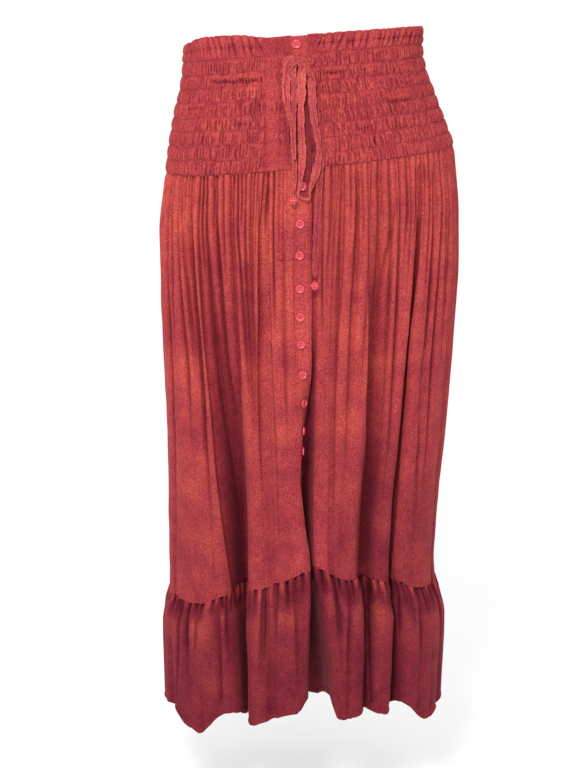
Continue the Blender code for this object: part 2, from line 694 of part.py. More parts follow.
def ball(name, centre, radii, material, around=12, down=7, petals=0, petal=0.0, tip=0.0):
    """A closed round body with optional petals and a drawn-out lower tip."""
    verts = [(centre[0], centre[1], centre[2] + radii[2])]
    for r in range(1, down):
        a = math.pi * r / down
        for k in range(around):
            b = 2 * math.pi * k / around
            w = 1 + petal * math.cos(petals * b) if petals else 1.0
            pull = 1 - tip * max(0.0, -math.cos(a)) ** 1.5
            verts.append(
                (
                    centre[0] + radii[0] * w * pull * math.sin(a) * math.cos(b),
                    centre[1] + radii[1] * w * pull * math.sin(a) * math.sin(b),
                    centre[2] + radii[2] * math.cos(a),
                )
            )
    verts.append((centre[0], centre[1], centre[2] - radii[2]))
    last = len(verts) - 1
    faces = []
    for k in range(around):
        n = (k + 1) % around
        faces.append((0, 1 + k, 1 + n))
        for r in range(down - 2):
            a, b = 1 + r * around, 1 + (r + 1) * around
            faces.append((a + k, b + k, b + n, a + n))
        a = 1 + (down - 2) * around
        faces.append((a + k, last, a + n))
    return add(name, verts, faces, material)


# ---------------------------------------------------------------- the whole skirt
def main():
    for o in list(bpy.data.objects):
        bpy.data.objects.remove(o, do_unlink=True)

    cloth = make_material("crepe", (0.47, 0.055, 0.048), 0.82)
    band_cloth = make_material("crepe_band", (0.43, 0.05, 0.045), 0.82)
    tie_cloth = make_material("crepe_tie", (0.52, 0.075, 0.06), 0.80)
    plastic = make_material("coral_plastic", (0.78, 0.075, 0.10), 0.28)

    # gathered panels and flounce: the same sections, cut at the side seams
    for drops, names, foot, gathers in (
        (CLOTH_SECTIONS, ("panel_front_left", "panel_back", "panel_front_right"), 0, (1.8, 0.30)),
        (FLOUNCE_SECTIONS, ("flounce_front_left", "flounce_back", "flounce_front_right"), 1, (2.6, 1.0)),
    ):
        curves = []
        for d in drops:
            control, seams = section(d)
            u = np.arange(len(control), dtype=float)
            curve = read_curve(control, u)
            local = d - (3.0 if foot else 2.0)
            if foot:
                amount = gathers[0] * ease(local / 0.1) * (1 - 0.45 * ease((local - 0.3) / 0.7))
            else:
                amount = gathers[0] * ease(local / 0.05) * (1 - ease((local - 0.08) / gathers[1]))
            curve = ripple(curve, amount * MM)
            if foot:
                line = band_line(d, 0.0)[[4, 8, 12]]
                deg = opening_at(3.0, 1)
                facing = [(x, y, level(d, x, y, deg, opening_at(4.0, 1))) for x, y in line]
                curve = np.vstack([curve, facing])
            if d == drops[0]:
                curve[:, 2] -= 0.5 * GAP
            if d == drops[-1] and not foot:
                curve[:, 2] += 0.5 * GAP
            curves.append(curve)
        cuts = [0] + seams + [len(curves[0]) - 1]
        for name, a, b in zip(names, cuts[:-1], cuts[1:]):
            normals = [outward(c)[a : b + 1] for c in curves]
            if name == "panel_front_left":
                for d, n, c in zip(drops, normals, curves):
                    n[0] = joint_normal(under_band_line(d), c)
            rows = [trim(c[a : b + 1], GAP / 2, GAP / 2) for c in curves]
            if name == "panel_front_left":
                left_curves = curves
            wall(name, rows, cloth, normals=normals)

    # the flounce's front edges turn in as the opening does; the bands stop at the flounce seam
    band_drops = (0.0, 0.5, 1.0, 1.25, 1.5, 1.75, 2.0) + CLOTH_SECTIONS[1:]
    top = band_sections(-BAND_PROUD, band_drops)
    for rows in top[:1]:
        rows[:, 2] += 2.5 * MM
    top[-1][:, 2] += 0.5 * GAP
    for k, rows in enumerate(top):
        top[k] = trim(rows, GAP, 0.0)
    wall("placket_top", top, band_cloth)

    under, normals = [], []
    for d in band_drops:
        rows = under_band_line(d)
        n = outward(rows)
        if d >= 2.0:
            n[-1] = joint_normal(rows, left_curves[max(0, CLOTH_SECTIONS.index(d))])
        normals.append(n)
        under.append(trim(rows, 0.0, GAP / 2 if d >= 2.0 else GAP))
    under[-1][:, 2] += 0.5 * GAP
    wall("placket_under", under, band_cloth, normals=normals)

    # casing and shirred yoke
    def ring_rows(drops, lo, hi, columns, puff):
        out, aim = [], []
        for d in drops:
            rows, facing = [], []
            a0 = lo(d) if callable(lo) else lo
            a1 = hi(d) if callable(hi) else hi
            for k in range(columns + 1):
                deg = a0 + (a1 - a0) * k / columns
                p, n, _ = girth_point(d, deg)
                away = (deg + 180.0) % 360.0 - 180.0
                calm = 1 - math.exp(-(((away + 3.0) / 11.0) ** 2))
                swell = 0.0
                if puff and d > 1.0:
                    phase = (d - 1.0) * YOKE_ROWS
                    swell = PUFF * abs(math.sin(math.pi * phase)) * calm
                elif puff:
                    swell = 1.2 * MM * math.sin(math.pi * d) * calm
                sunk = 0.0
                if 0.0 <= away < 12.0:
                    sunk = 0.8 * MM * (1 - ease((away - 1.0) / 9.0))
                p = p + n * (swell - sunk)
                rows.append((p[0], p[1], level(d, p[0], p[1])))
                facing.append((n[0], n[1], 0.0))
            out.append(np.array(rows))
            aim.append(np.array(facing))
        return out, aim

    def right_end(d):
        return 360.0 + opening_at(d, 1)

    casing_drops = (0.0, 0.5, 1.0)
    yoke_drops = tuple(1.0 + k / (2 * YOKE_ROWS) for k in range(2 * YOKE_ROWS + 1))
    for stem, drops in (("casing", casing_drops), ("yoke", yoke_drops)):
        for side, lo, hi, columns in (
            ("front_left", left_start, 90.0, 7),
            ("back", 90.0, 270.0, 12),
            ("front_right", 270.0, right_end, 7),
        ):
            rows, normals = ring_rows(drops, lo, hi, columns, True)
            if stem == "yoke":
                rows[0][:, 2] -= 0.5 * GAP
                rows[-1][:, 2] += 0.5 * GAP
            else:
                rows[-1][:, 2] += 0.5 * GAP
            rows = [trim(r, GAP / 2, GAP / 2) for r in rows]
            wall(stem + "_" + side, rows, cloth, normals=normals)

    # buttons down the band, each facing out from it
    shape = button_master(plastic)
    for number, (height, across) in enumerate(BUTTONS, 1):
        drop = drop_of_height(height * MM)
        spread = [drop + s * 0.004 for s in range(-5, 6)]
        cloud = []
        for d in spread:
            if d < 0:
                continue
            line = band_line(d, 0.0)
            pts = np.array([(x, y, level(d, x, y, opening_at(3.0, 1), 0.0)) for x, y in line])
            cloud.append(pts + outward(pts) * BAND_PROUD)
        line = band_line(drop, 0.0)
        pts = np.array([(x, y, level(drop, x, y, opening_at(3.0, 1), 0.0)) for x, y in line])
        normals = outward(pts)
        run = across * MM / BAND_WIDTH * 12
        k = int(run)
        f = run - k
        centre = pts[k] * (1 - f) + pts[k + 1] * f
        normal = normals[k] * (1 - f) + normals[k + 1] * f
        normal /= np.linalg.norm(normal)
        centre = centre + normal * BAND_PROUD
        allp = np.vstack(cloud)
        near = np.linalg.norm(allp - centre, axis=1) < BUTTON_DIAMETER * 0.75
        rise = max(0.0, float(np.max((allp[near] - centre) @ normal)))
        at = centre + normal * (rise + 2 * GAP)
        obj = bpy.data.objects.new("button_%02d" % number, shape)
        bpy.context.scene.collection.objects.link(obj)
        from mathutils import Matrix, Vector

        z = Vector(normal)
        x = Vector((0, 0, 1)).cross(z).normalized()
        y = z.cross(x)
        m = Matrix((x, y, z)).transposed().to_4x4()
        m.translation = Vector(at)
        obj.matrix_world = m

    # the tie
    strip("tie_loop_right", LOOP_RIGHT, tie_cloth)
    strip("tie_loop_left", LOOP_LEFT, tie_cloth)
    strip("tie_tail_right", TAIL_RIGHT, tie_cloth, spacing=9 * MM)
    strip("tie_tail_left", TAIL_LEFT, tie_cloth, spacing=9 * MM)
    p, n = body_front(KNOT["across"] * MM, KNOT["height"] * MM)
    ball(
        "tie_knot",
        p + n * KNOT["lift"] * MM,
        (KNOT["half_width"] * MM, KNOT["half_depth"] * MM, KNOT["half_height"] * MM),
        tie_cloth,
        around=14,
        down=8,
    )
    for name, across, height, lift in BEADS:
        p, n = body_front(across * MM, height * MM)
        ball(name, p + n * lift * MM, (5.6 * MM, 5.2 * MM, 7.2 * MM), plastic, around=16, down=8, petals=8, petal=0.07, tip=0.45)


main()
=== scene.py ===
"""Looks of the maxi skirt: the cloth with its pleats, puckers and folds, the buttons and the tie.

Row frame, metres: the origin is the centre of the waist, +Z up, the buttoned centre front faces -Y.
Girth angles are degrees from the centre front, 90 is +X. "drop" is the level down the skirt:
0 waist edge, 1 foot of the casing, 2 foot of the shirred yoke, 3 flounce seam, 4 hem.
"""

import math

import bpy
import numpy as np
from mathutils import Matrix, Vector


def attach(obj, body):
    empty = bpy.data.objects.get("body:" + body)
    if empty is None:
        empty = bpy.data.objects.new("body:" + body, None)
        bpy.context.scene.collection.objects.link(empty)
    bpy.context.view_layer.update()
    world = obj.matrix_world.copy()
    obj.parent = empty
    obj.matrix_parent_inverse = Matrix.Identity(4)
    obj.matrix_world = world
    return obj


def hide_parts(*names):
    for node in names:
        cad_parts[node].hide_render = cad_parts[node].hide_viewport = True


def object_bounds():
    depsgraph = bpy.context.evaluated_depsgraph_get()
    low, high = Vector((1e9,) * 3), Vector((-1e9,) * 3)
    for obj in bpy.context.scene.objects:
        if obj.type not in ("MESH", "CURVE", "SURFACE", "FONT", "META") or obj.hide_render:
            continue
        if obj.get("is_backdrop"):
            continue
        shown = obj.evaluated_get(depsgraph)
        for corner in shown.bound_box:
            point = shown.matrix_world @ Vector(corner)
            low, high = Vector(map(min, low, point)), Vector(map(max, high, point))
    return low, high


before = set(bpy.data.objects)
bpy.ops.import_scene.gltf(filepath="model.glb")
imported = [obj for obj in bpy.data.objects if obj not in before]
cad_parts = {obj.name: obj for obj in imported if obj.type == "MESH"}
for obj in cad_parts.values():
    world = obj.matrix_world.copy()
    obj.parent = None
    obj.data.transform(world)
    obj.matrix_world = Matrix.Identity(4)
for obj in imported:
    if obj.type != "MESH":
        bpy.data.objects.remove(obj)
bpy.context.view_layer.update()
MM = 0.001

# ------------------------------------------------------------------------------------------------
# camera
# ------------------------------------------------------------------------------------------------
cam_data = bpy.data.cameras.new("camera")
cam_data.sensor_width = 36.0
cam_data.lens = 78.3
cam_data.clip_start, cam_data.clip_end = 0.05, 60.0
camera = bpy.data.objects.new("camera", cam_data)
camera.location = (-0.026, -2.2, 0.12)
camera.rotation_euler = (math.radians(90.0 - 14.9), 0.0, 0.0)
bpy.context.scene.collection.objects.link(camera)
bpy.context.scene.camera = camera

# ------------------------------------------------------------------------------------------------
# tables shared with the CAD
# ------------------------------------------------------------------------------------------------
BAND_WIDTH = 20.0 * MM
BAND_PROUD = 0.9 * MM
YOKE_ROWS = 8
PUFF = 2.4 * MM
FULLNESS = 0.10

# drop, half width, front depth, back depth, sideways shift (mm)
GIRTH = (
    (0.00, 153.0, 100.0, 100.0, -5.0),
    (1.00, 155.0, 101.5, 101.5, -4.5),
    (1.25, 160.6, 105.0, 106.0, -3.0),
    (1.45, 169.5, 109.0, 111.0, -1.0),
    (1.70, 178.5, 113.0, 117.0, 1.0),
    (2.00, 188.0, 118.0, 124.0, 2.0),
    (2.14, 197.6, 122.0, 131.5, 2.0),
    (2.28, 199.1, 121.0, 134.0, 2.0),
    (2.46, 195.5, 118.0, 132.0, 1.5),
    (2.65, 191.2, 115.0, 130.0, -1.0),
    (2.80, 186.8, 112.0, 128.0, -4.5),
    (2.95, 185.1, 109.0, 126.0, -6.4),
    (3.00, 186.0, 109.0, 126.0, -6.0),
    (3.12, 191.5, 112.0, 129.0, -5.0),
    (3.30, 195.3, 114.0, 131.0, -4.0),
    (4.00, 194.8, 112.0, 131.0, -4.0),
)

# angle, height of the flounce seam, height of the hem (mm)
SEAM_AND_HEM = (
    (-90.0, -757.0, -932.0),
    (-66.0, -757.0, -930.0),
    (-50.0, -756.0, -942.0),
    (-36.0, -742.0, -916.0),
    (-22.0, -727.0, -928.0),
    (-14.0, -720.0, -913.0),
    (-2.0, -701.0, -902.0),
    (6.0, -692.0, -903.0),
    (13.0, -706.0, -913.0),
    (30.0, -715.0, -908.0),
    (41.0, -720.0, -908.0),
    (55.0, -735.0, -930.0),
    (90.0, -742.0, -930.0),
    (180.0, -752.0, -934.0),
    (270.0, -757.0, -932.0),
)

# kind; girth angle of the first and the second lip at yoke, knee, seam and hem (degrees);
# depth at hip, knee, seam and hem (mm)
FOLDS = (
    ("soft", (6.6, 5.9, 8.2, 14.1), (6.6, 5.9, 8.2, 14.1), (4.0, 2.0, 1.0, 3.0)),
    ("soft", (10.8, 8.6, 11.0, 16.2), (10.8, 8.6, 11.0, 16.2), (6.5, 6.5, 4.5, 3.0)),
    ("soft", (16.5, 15.2, 15.4, 18.3), (16.5, 15.2, 15.4, 18.3), (4.5, 2.0, 1.0, 2.0)),
    ("deep", (21.8, 21.3, 21.4, 22.2), (31.0, 29.7, 28.8, 26.6), (8.0, 15.0, 28.0, 26.0)),
    ("soft", (37.0, 34.0, 32.8, 30.4), (37.0, 34.0, 32.8, 30.4), (3.5, 1.0, 1.0, 2.0)),
    ("deep", (43.5, 38.0, 37.0, 34.6), (46.5, 40.4, 40.2, 41.5), (9.0, 17.0, 32.0, 40.0)),
    ("soft", (53.0, 48.8, 50.8, 52.0), (53.0, 48.8, 50.8, 52.0), (6.0, 7.5, 4.5, 6.0)),
    ("soft", (64.0, 59.5, 61.5, 62.5), (64.0, 59.5, 61.5, 62.5), (5.0, 2.0, 1.0, 4.0)),
    ("soft", (74.0, 72.0, 74.5, 76.0), (74.0, 72.0, 74.5, 76.0), (4.0, 6.5, 6.0, 15.0)),
    ("deep", (97.0, 98.0, 97.0, 98.0), (102.0, 103.5, 104.0, 104.0), (6.0, 12.0, 24.0, 28.0)),
    ("soft", (118.0, 119.0, 121.0, 122.0), (118.0, 119.0, 121.0, 122.0), (5.0, 6.0, 6.0, 10.0)),
    ("deep", (133.0, 135.5, 138.0, 137.0), (141.0, 145.0, 147.0, 147.0), (8.0, 18.0, 44.0, 48.0)),
    ("soft", (158.5, 158.0, 157.5, 158.0), (158.5, 158.0, 157.5, 158.0), (5.0, 6.0, 5.0, 9.0)),
    ("deep", (172.0, 173.0, 175.5, 175.0), (178.0, 181.0, 184.0, 184.0), (8.0, 15.0, 34.0, 40.0)),
    ("soft", (198.0, 199.5, 201.0, 200.5), (198.0, 199.5, 201.0, 200.5), (6.0, 8.0, 8.0, 10.0)),
    ("deep", (213.0, 212.0, 211.0, 212.0), (221.0, 221.5, 220.0, 221.0), (8.0, 19.0, 50.0, 52.0)),
    ("soft", (237.0, 238.0, 240.0, 240.0), (237.0, 238.0, 240.0, 240.0), (5.0, 6.0, 6.0, 10.0)),
    ("deep", (253.0, 255.0, 256.0, 255.0), (258.0, 261.0, 262.5, 262.0), (6.0, 11.0, 24.0, 28.0)),
    ("soft", (279.0, 277.5, 279.0, 280.0), (279.0, 277.5, 279.0, 280.0), (3.0, 3.0, 2.0, 6.0)),
    ("soft", (290.0, 292.5, 291.0, 289.5), (290.0, 292.5, 291.0, 289.5), (5.0, 4.5, 5.0, 15.0)),
    ("soft", (304.5, 313.0, 316.5, 317.0), (304.5, 313.0, 316.5, 317.0), (6.0, 4.5, 1.5, 6.0)),
    ("deep", (314.5, 320.8, 330.0, 334.8), (332.2, 335.7, 337.8, 338.2), (8.0, 20.0, 66.0, 66.0)),
    ("deep", (343.2, 343.0, 346.3, 346.0), (346.6, 347.3, 350.0, 350.0), (8.0, 8.5, 6.0, 8.0)),
)
SIDE_SEAMS = (90.0, 270.0)

# drop; angle of the band's stitched edge; how far the band turns inward (degrees); then angle and
# inset (mm) of the under band's free edge, its inner edge, the valley's floor, left wall, lip, shoulder
OPENING = (
    (2.00, -5.3, 0.0, -5.0, 0.7, 0.35, 0.8, 1.2, 1.0, 1.8, 0.9, 2.4, 0.6, 3.6, 0.2),
    (2.12, -5.3, 0.0, -5.1, 0.7, 0.55, 1.4, 1.1, 5.5, 1.5, 4.2, 1.9, 1.6, 3.2, 0.2),
    (2.35, -5.0, 1.0, -4.7, 0.9, 0.60, 1.8, 1.1, 7.0, 1.9, 5.0, 2.4, 1.8, 3.8, 0.2),
    (2.46, -4.6, 14.0, -4.6, 2.1, 0.35, 6.5, 0.9, 15.0, 2.0, 9.0, 2.6, 2.6, 4.2, 0.3),
    (2.56, -3.6, 56.0, -4.4, 2.8, -0.85, 18.2, -0.1, 27.0, 1.8, 15.0, 2.3, 3.4, 4.0, 0.4),
    (2.65, -3.1, 84.0, -4.2, 3.8, -2.90, 22.5, -1.2, 36.0, 1.9, 22.0, 2.5, 4.6, 4.3, 0.6),
    (2.75, -2.9, 90.0, -4.6, 15.0, -3.40, 35.0, -0.7, 44.0, 2.1, 28.0, 2.7, 5.6, 4.8, 0.8),
    (2.87, -0.9, 88.0, -4.8, 28.0, -3.00, 46.0, -0.2, 52.0, 2.5, 32.0, 3.1, 6.4, 5.3, 1.0),
    (3.00, 1.5, 84.0, -4.8, 36.0, -2.20, 53.0, 0.6, 59.0, 3.0, 35.0, 3.7, 7.5, 5.8, 1.2),
    (3.35, 0.9, 84.0, -6.5, 52.0, -2.50, 66.0, 2.0, 70.0, 5.4, 44.0, 6.6, 11.0, 9.2, 1.8),
    (4.00, -0.8, 70.0, -8.5, 74.0, -3.00, 80.0, 4.3, 80.0, 8.5, 55.0, 10.2, 16.0, 12.4, 2.5),
)

# the tie's routes: across (x), height (z), lift off the body, width (mm), turn about the run (degrees)
LOOP_RIGHT = (
    (-24.6, -23.9, 8.6, 5.4, 0),
    (-26.7, -27.3, 8.2, 7.0, 5),
    (-27.5, -32.3, 7.6, 8.4, 8),
    (-28.0, -37.6, 7.2, 9.2, 5),
    (-27.7, -46.0, 7.0, 10.4, 0),
    (-28.0, -56.5, 6.8, 11.2, 0),
    (-27.3, -69.1, 6.8, 9.8, 0),
    (-26.3, -79.5, 6.8, 8.0, 5),
    (-24.5, -87.9, 6.8, 6.4, 15),
    (-23.0, -96.3, 6.8, 5.2, 35),
    (-21.8, -104.7, 6.8, 4.6, 45),
    (-20.7, -115.2, 6.8, 4.2, 50),
    (-20.0, -127.9, 6.8, 3.8, 50),
    (-19.2, -138.5, 6.8, 3.4, 55),
    (-17.7, -144.3, 7.0, 3.0, 60),
    (-16.6, -138.2, 7.4, 3.2, 55),
    (-16.8, -127.6, 8.0, 3.6, 50),
    (-17.3, -114.8, 8.4, 3.8, 50),
    (-17.7, -104.2, 8.8, 5.2, 35),
    (-18.1, -95.8, 8.8, 5.2, 35),
    (-18.3, -87.3, 8.8, 6.2, 25),
    (-18.1, -76.9, 8.8, 7.4, 10),
    (-18.1, -64.3, 8.8, 7.4, 10),
    (-18.1, -53.8, 9.0, 7.4, 10),
    (-18.5, -45.4, 9.2, 7.4, 10),
    (-19.2, -36.9, 9.6, 8.0, 5),
    (-18.4, -30.5, 10.2, 8.0, 0),
    (-17.3, -25.4, 10.4, 6.0, 0),
)
LOOP_LEFT = (
    (-6.6, -24.9, 9.4, 4.6, 0),
    (-3.9, -28.8, 8.6, 5.0, 10),
    (-1.5, -34.2, 7.8, 5.5, 15),
    (1.1, -39.6, 7.2, 7.1, 10),
    (2.8, -45.9, 7.2, 9.2, 0),
    (3.2, -54.2, 7.2, 10.1, 0),
    (3.7, -64.7, 7.2, 10.1, 0),
    (4.1, -75.1, 7.2, 9.7, 0),
    (5.0, -85.6, 7.0, 9.2, 0),
    (6.3, -96.2, 6.8, 8.8, 0),
    (8.0, -104.6, 6.8, 8.4, 0),
    (10.2, -115.1, 6.6, 8.0, 0),
    (11.7, -127.8, 6.6, 7.1, 10),
    (12.6, -136.3, 6.6, 7.1, 15),
    (11.6, -144.7, 6.6, 8.4, 5),
    (9.9, -153.3, 6.4, 10.1, 0),
    (8.2, -161.8, 6.4, 9.7, 0),
    (5.0, -171.3, 6.6, 7.6, 10),
    (2.2, -178.8, 6.8, 5.0, 35),
    (1.3, -185.5, 7.6, 2.8, 55),
    (1.6, -190.6, 7.6, 2.5, 60),
    (-0.8, -193.0, 7.6, 2.5, 65),
    (-5.8, -192.2, 7.6, 2.3, 65),
    (-10.8, -191.0, 7.6, 2.3, 65),
    (-13.2, -188.3, 7.6, 2.5, 60),
    (-12.5, -184.0, 7.6, 2.8, 50),
    (-11.2, -176.7, 6.8, 4.4, 35),
    (-9.9, -168.2, 6.6, 5.4, 20),
    (-9.0, -159.6, 6.6, 7.0, 5),
    (-8.4, -149.0, 6.6, 8.8, 0),
    (-8.0, -138.4, 6.6, 9.6, 0),
    (-8.4, -127.7, 7.0, 9.5, 0),
    (-8.9, -115.0, 7.4, 9.0, 5),
    (-9.5, -106.4, 7.8, 7.4, 10),
    (-9.4, -97.9, 8.2, 8.8, 0),
    (-9.6, -88.5, 8.4, 8.0, 0),
    (-10.0, -81.0, 8.6, 7.4, 10),
    (-9.6, -72.6, 8.8, 9.2, 0),
    (-9.2, -64.3, 8.8, 10.9, 0),
    (-9.2, -53.9, 8.8, 11.2, 0),
    (-9.0, -43.3, 9.0, 10.9, 0),
    (-8.6, -34.8, 9.6, 9.2, 0),
    (-8.1, -30.0, 10.4, 6.8, 0),
    (-9.6, -25.8, 10.4, 5.0, 0),
)
TAIL_RIGHT = (
    (-21.5, -33.0, 2.4, 5.0, 0),
    (-23.6, -48.0, 2.4, 5.6, 0),
    (-22.6, -62.0, 2.4, 6.2, 0),
    (-20.4, -90.0, 2.4, 6.6, 0),
    (-19.0, -120.0, 2.4, 7.0, 0),
    (-18.4, -140.0, 2.4, 6.8, 0),
    (-17.9, -155.0, 2.4, 6.4, 0),
    (-17.8, -170.0, 2.4, 6.0, 0),
    (-18.8, -186.4, 2.9, 4.5, 0),
)
TAIL_LEFT = (
    (-5.0, -33.0, 2.4, 5.0, 0),
    (2.6, -59.0, 2.4, 7.0, 0),
    (9.0, -90.0, 2.4, 8.0, 0),
    (13.0, -118.0, 2.4, 8.5, 0),
    (14.4, -145.0, 2.4, 8.5, 0),
    (13.6, -170.0, 2.4, 8.5, 0),
    (12.0, -195.0, 2.4, 8.0, 0),
    (10.2, -222.0, 2.4, 8.0, 0),
    (9.0, -250.0, 2.4, 8.0, 0),
    (8.4, -275.0, 2.5, 7.5, 0),
    (8.0, -294.4, 3.2, 5.0, 0),
)
BEADS = (
    ("bead_right", -19.1, -194.6, 7.8),
    ("bead_left", 7.6, -302.6, 7.8),
)
KNOT = dict(across=-14.6, height=-26.4, lift=6.4, half_width=13.6, half_height=5.4, half_depth=5.0)


# ------------------------------------------------------------------------------------------------
# mathematics
# ------------------------------------------------------------------------------------------------
def table(rows, column, at):
    """Smooth curve without overshoot through one column of a table."""
    data = np.array(rows, float)
    xs, ys = data[:, 0], data[:, column]
    at = np.asarray(at, float)
    h = np.diff(xs)
    slope = np.diff(ys) / h
    m = np.empty_like(ys)
    m[0], m[-1] = slope[0], slope[-1]
    for i in range(1, len(xs) - 1):
        a, b = slope[i - 1], slope[i]
        m[i] = 0.0 if a * b <= 0 else 2 * a * b / (a + b)
    i = np.clip(np.searchsorted(xs, at, side="right") - 1, 0, len(xs) - 2)
    t = np.clip((at - xs[i]) / h[i], 0.0, 1.0)
    return (
        ys[i] * (1 + 2 * t) * (1 - t) ** 2
        + m[i] * h[i] * t * (1 - t) ** 2
        + ys[i + 1] * t * t * (3 - 2 * t)
        + m[i + 1] * h[i] * t * t * (t - 1)
    )


def ease(x):
    x = np.clip(x, 0.0, 1.0)
    return x * x * (3 - 2 * x)


_lattice = np.random.default_rng(4721).random((32, 32, 32)) * 2 - 1


def noise(p, cell, offset=0.0):
    """Smooth noise from -1 to 1 at points p, with cells of the given size in metres along x, y, z."""
    q = np.asarray(p) / np.asarray(cell) + offset
    i = np.floor(q).astype(int)
    f = q - i
    f = f * f * (3 - 2 * f)
    out = 0.0
    for dx in (0, 1):
        wx = f[..., 0] if dx else 1 - f[..., 0]
        for dy in (0, 1):
            wy = f[..., 1] if dy else 1 - f[..., 1]
            for dz in (0, 1):
                wz = f[..., 2] if dz else 1 - f[..., 2]
                out = out + wx * wy * wz * _lattice[(i[..., 0] + dx) % 32, (i[..., 1] + dy) % 32, (i[..., 2] + dz) % 32]
    return out


def wave(x, seed):
    """Slow smooth wander of one number, about -1 to 1."""
    x = np.asarray(x, float)
    p = np.stack([x, np.full_like(x, seed * 1.37 + 0.5), np.full_like(x, seed * 0.71 + 0.5)], axis=-1)
    return noise(p, (1.0, 1.0, 1.0))


def girth_sizes(drop):
    return [float(table(GIRTH, c, drop)) * MM for c in (1, 2, 3, 4)]


def ring(drop, deg):
    """Points (x, y) of the smooth body section with outward and sideways unit vectors."""
    a, front, back, shift = girth_sizes(drop)
    deg = np.asarray(deg, float)

    def at(d):
        s, c = np.sin(np.radians(d)), np.cos(np.radians(d))
        depth = np.where(c > 0, front, back)
        return np.stack([shift + a * s * (1 + FULLNESS * c * c), -depth * c * (1 + FULLNESS * s * s)], axis=-1)

    p = at(deg)
    t = at(deg + 0.05) - at(deg - 0.05)
    t /= np.linalg.norm(t, axis=-1, keepdims=True)
    n = np.stack([t[..., 1], -t[..., 0]], axis=-1)
    return p, n, t


def mm_per_degree(drop, deg):
    a, _, _ = ring(drop, deg - 0.5)
    b, _, _ = ring(drop, deg + 0.5)
    return float(np.linalg.norm(b - a)) / MM


def level(drop, x, y, deg_seam=0.0, deg_hem=0.0):
    rim = 0.0745 * x - 0.065 * y
    casing = -22.0 * MM + 0.075 * x - 0.060 * y
    yoke = -155.5 * MM + 0.097 * x
    if drop <= 1:
        return rim + (casing - rim) * drop
    if drop <= 2:
        return casing + (yoke - casing) * (drop - 1)

    def wrap(d):
        return (np.asarray(d) + 90.0) % 360.0 - 90.0

    seam = table(SEAM_AND_HEM, 1, wrap(deg_seam)) * MM
    if drop <= 3:
        return yoke + (seam - yoke) * (drop - 2)
    hem = table(SEAM_AND_HEM, 2, wrap(deg_hem)) * MM
    return seam + (hem - seam) * (drop - 3)


def over_drop(values, drop):
    rows = [(2.0, values[0]), (2.46, values[1]), (3.0, values[2]), (4.0, values[3])]
    return float(table(rows, 1, drop))


def depth_over_drop(values, drop):
    rows = [(2.0, 0.0), (2.05, 0.45 * values[0]), (2.22, values[0]), (2.46, values[1]), (3.0, values[2]), (4.0, values[3])]
    return float(table(rows, 1, drop))


# ------------------------------------------------------------------------------------------------
# the gathered cloth's section, fine
# ------------------------------------------------------------------------------------------------
def controls(d):
    """Girth angle and inset of every control point at a level, in the same order at every level."""
    pts, kinds = [], []
    o = [float(table(OPENING, c, d)) for c in range(1, 15)]

    def put(kind, deg, inset):
        pts.append((deg, inset))
        kinds.append(kind)

    put("edge", o[4], o[5])
    for k in (6, 8, 10, 12):
        put("opening", o[k], o[k + 1])
    items = []
    for n, (kind, first, second, depth) in enumerate(FOLDS):
        sway = 0.35 * float(wave(d * 3.1, n * 2 + 1)) * min(1.0, (d - 2.0) * 4)
        lo, hi = over_drop(first, d) + sway, over_drop(second, d) + sway
        deep = depth_over_drop(depth, d) * (1 + 0.10 * float(wave(d * 3.7, n * 2 + 60)))
        per = mm_per_degree(3.0, lo)
        if kind == "soft":
            half = (2.4 + 0.35 * deep) / per
            items.append([(lo - half, 0.0), (lo, deep), (lo + half, 0.0)])
        else:
            out = (2.0 + min(0.22 * deep, 7.0)) / per
            w = min(0.16 * (hi - lo), 2.0)
            mid = 0.5 * (lo + hi)
            items.append(
                [
                    (lo - out, 0.0),
                    (lo, 0.12 * deep),
                    (lo + w, 0.74 * deep),
                    (mid, 1.04 * deep),
                    (hi - w, 0.74 * deep),
                    (hi, 0.12 * deep),
                    (hi + out, 0.0),
                ]
            )
    means = [0.5 * (sum(f[1]) + sum(f[2])) / 4 for f in FOLDS]
    last = o[12]
    for n, rows in enumerate(items):
        first_deg = rows[0][0]
        before = means[n - 1] if n else 0.0
        between = [s for s in SIDE_SEAMS if before < s < means[n]]
        lower = last
        for s in between + [None]:
            upper = first_deg if s is None else s
            room = (means[n] if s is None else s) - ((means[n - 1] if n else 3.0) if lower == last else lower)
            extra = 0 if room < 7.0 else (1 if room < 15 else 2)
            for e in range(extra):
                put("crown", lower + (upper - lower) * (e + 1) / (extra + 1), 0.0)
            if s is not None:
                put("seam", s, 0.0)
                lower = s
        for deg, inset in rows:
            put("fold", deg, inset)
        last = rows[-1][0]
    end = 360.0 + o[0]
    put("crown", last + (end - last) * 0.55, 0.0)
    put("stitch", end, 0.0)
    return np.array(pts), kinds


def spline(control, u):
    """Cubic B-spline of the control rows read at u, ending on the first and last."""
    c = np.vstack([2 * control[0] - control[1], control, 2 * control[-1] - control[-2]])
    i = np.clip(np.floor(u).astype(int), 0, len(control) - 2)
    t = (np.asarray(u) - i)[:, None]
    a, b, d, e = c[i], c[i + 1], c[i + 2], c[i + 3]
    return (a * (1 - t) ** 3 + b * (3 * t**3 - 6 * t**2 + 4) + d * (-3 * t**3 + 3 * t**2 + 3 * t + 1) + e * t**3) / 6.0


def outward(points):
    """Level unit normals of a section (cols, 3) or sections (rows, cols, 3)."""
    flat = points[..., :2]
    t = np.empty_like(flat)
    t[..., 1:-1, :] = flat[..., 2:, :] - flat[..., :-2, :]
    t[..., 0, :] = flat[..., 1, :] - flat[..., 0, :]
    t[..., -1, :] = flat[..., -1, :] - flat[..., -2, :]
    t /= np.maximum(np.linalg.norm(t, axis=-1, keepdims=True), 1e-9)
    return np.stack([t[..., 1], -t[..., 0], np.zeros_like(t[..., 0])], axis=-1)


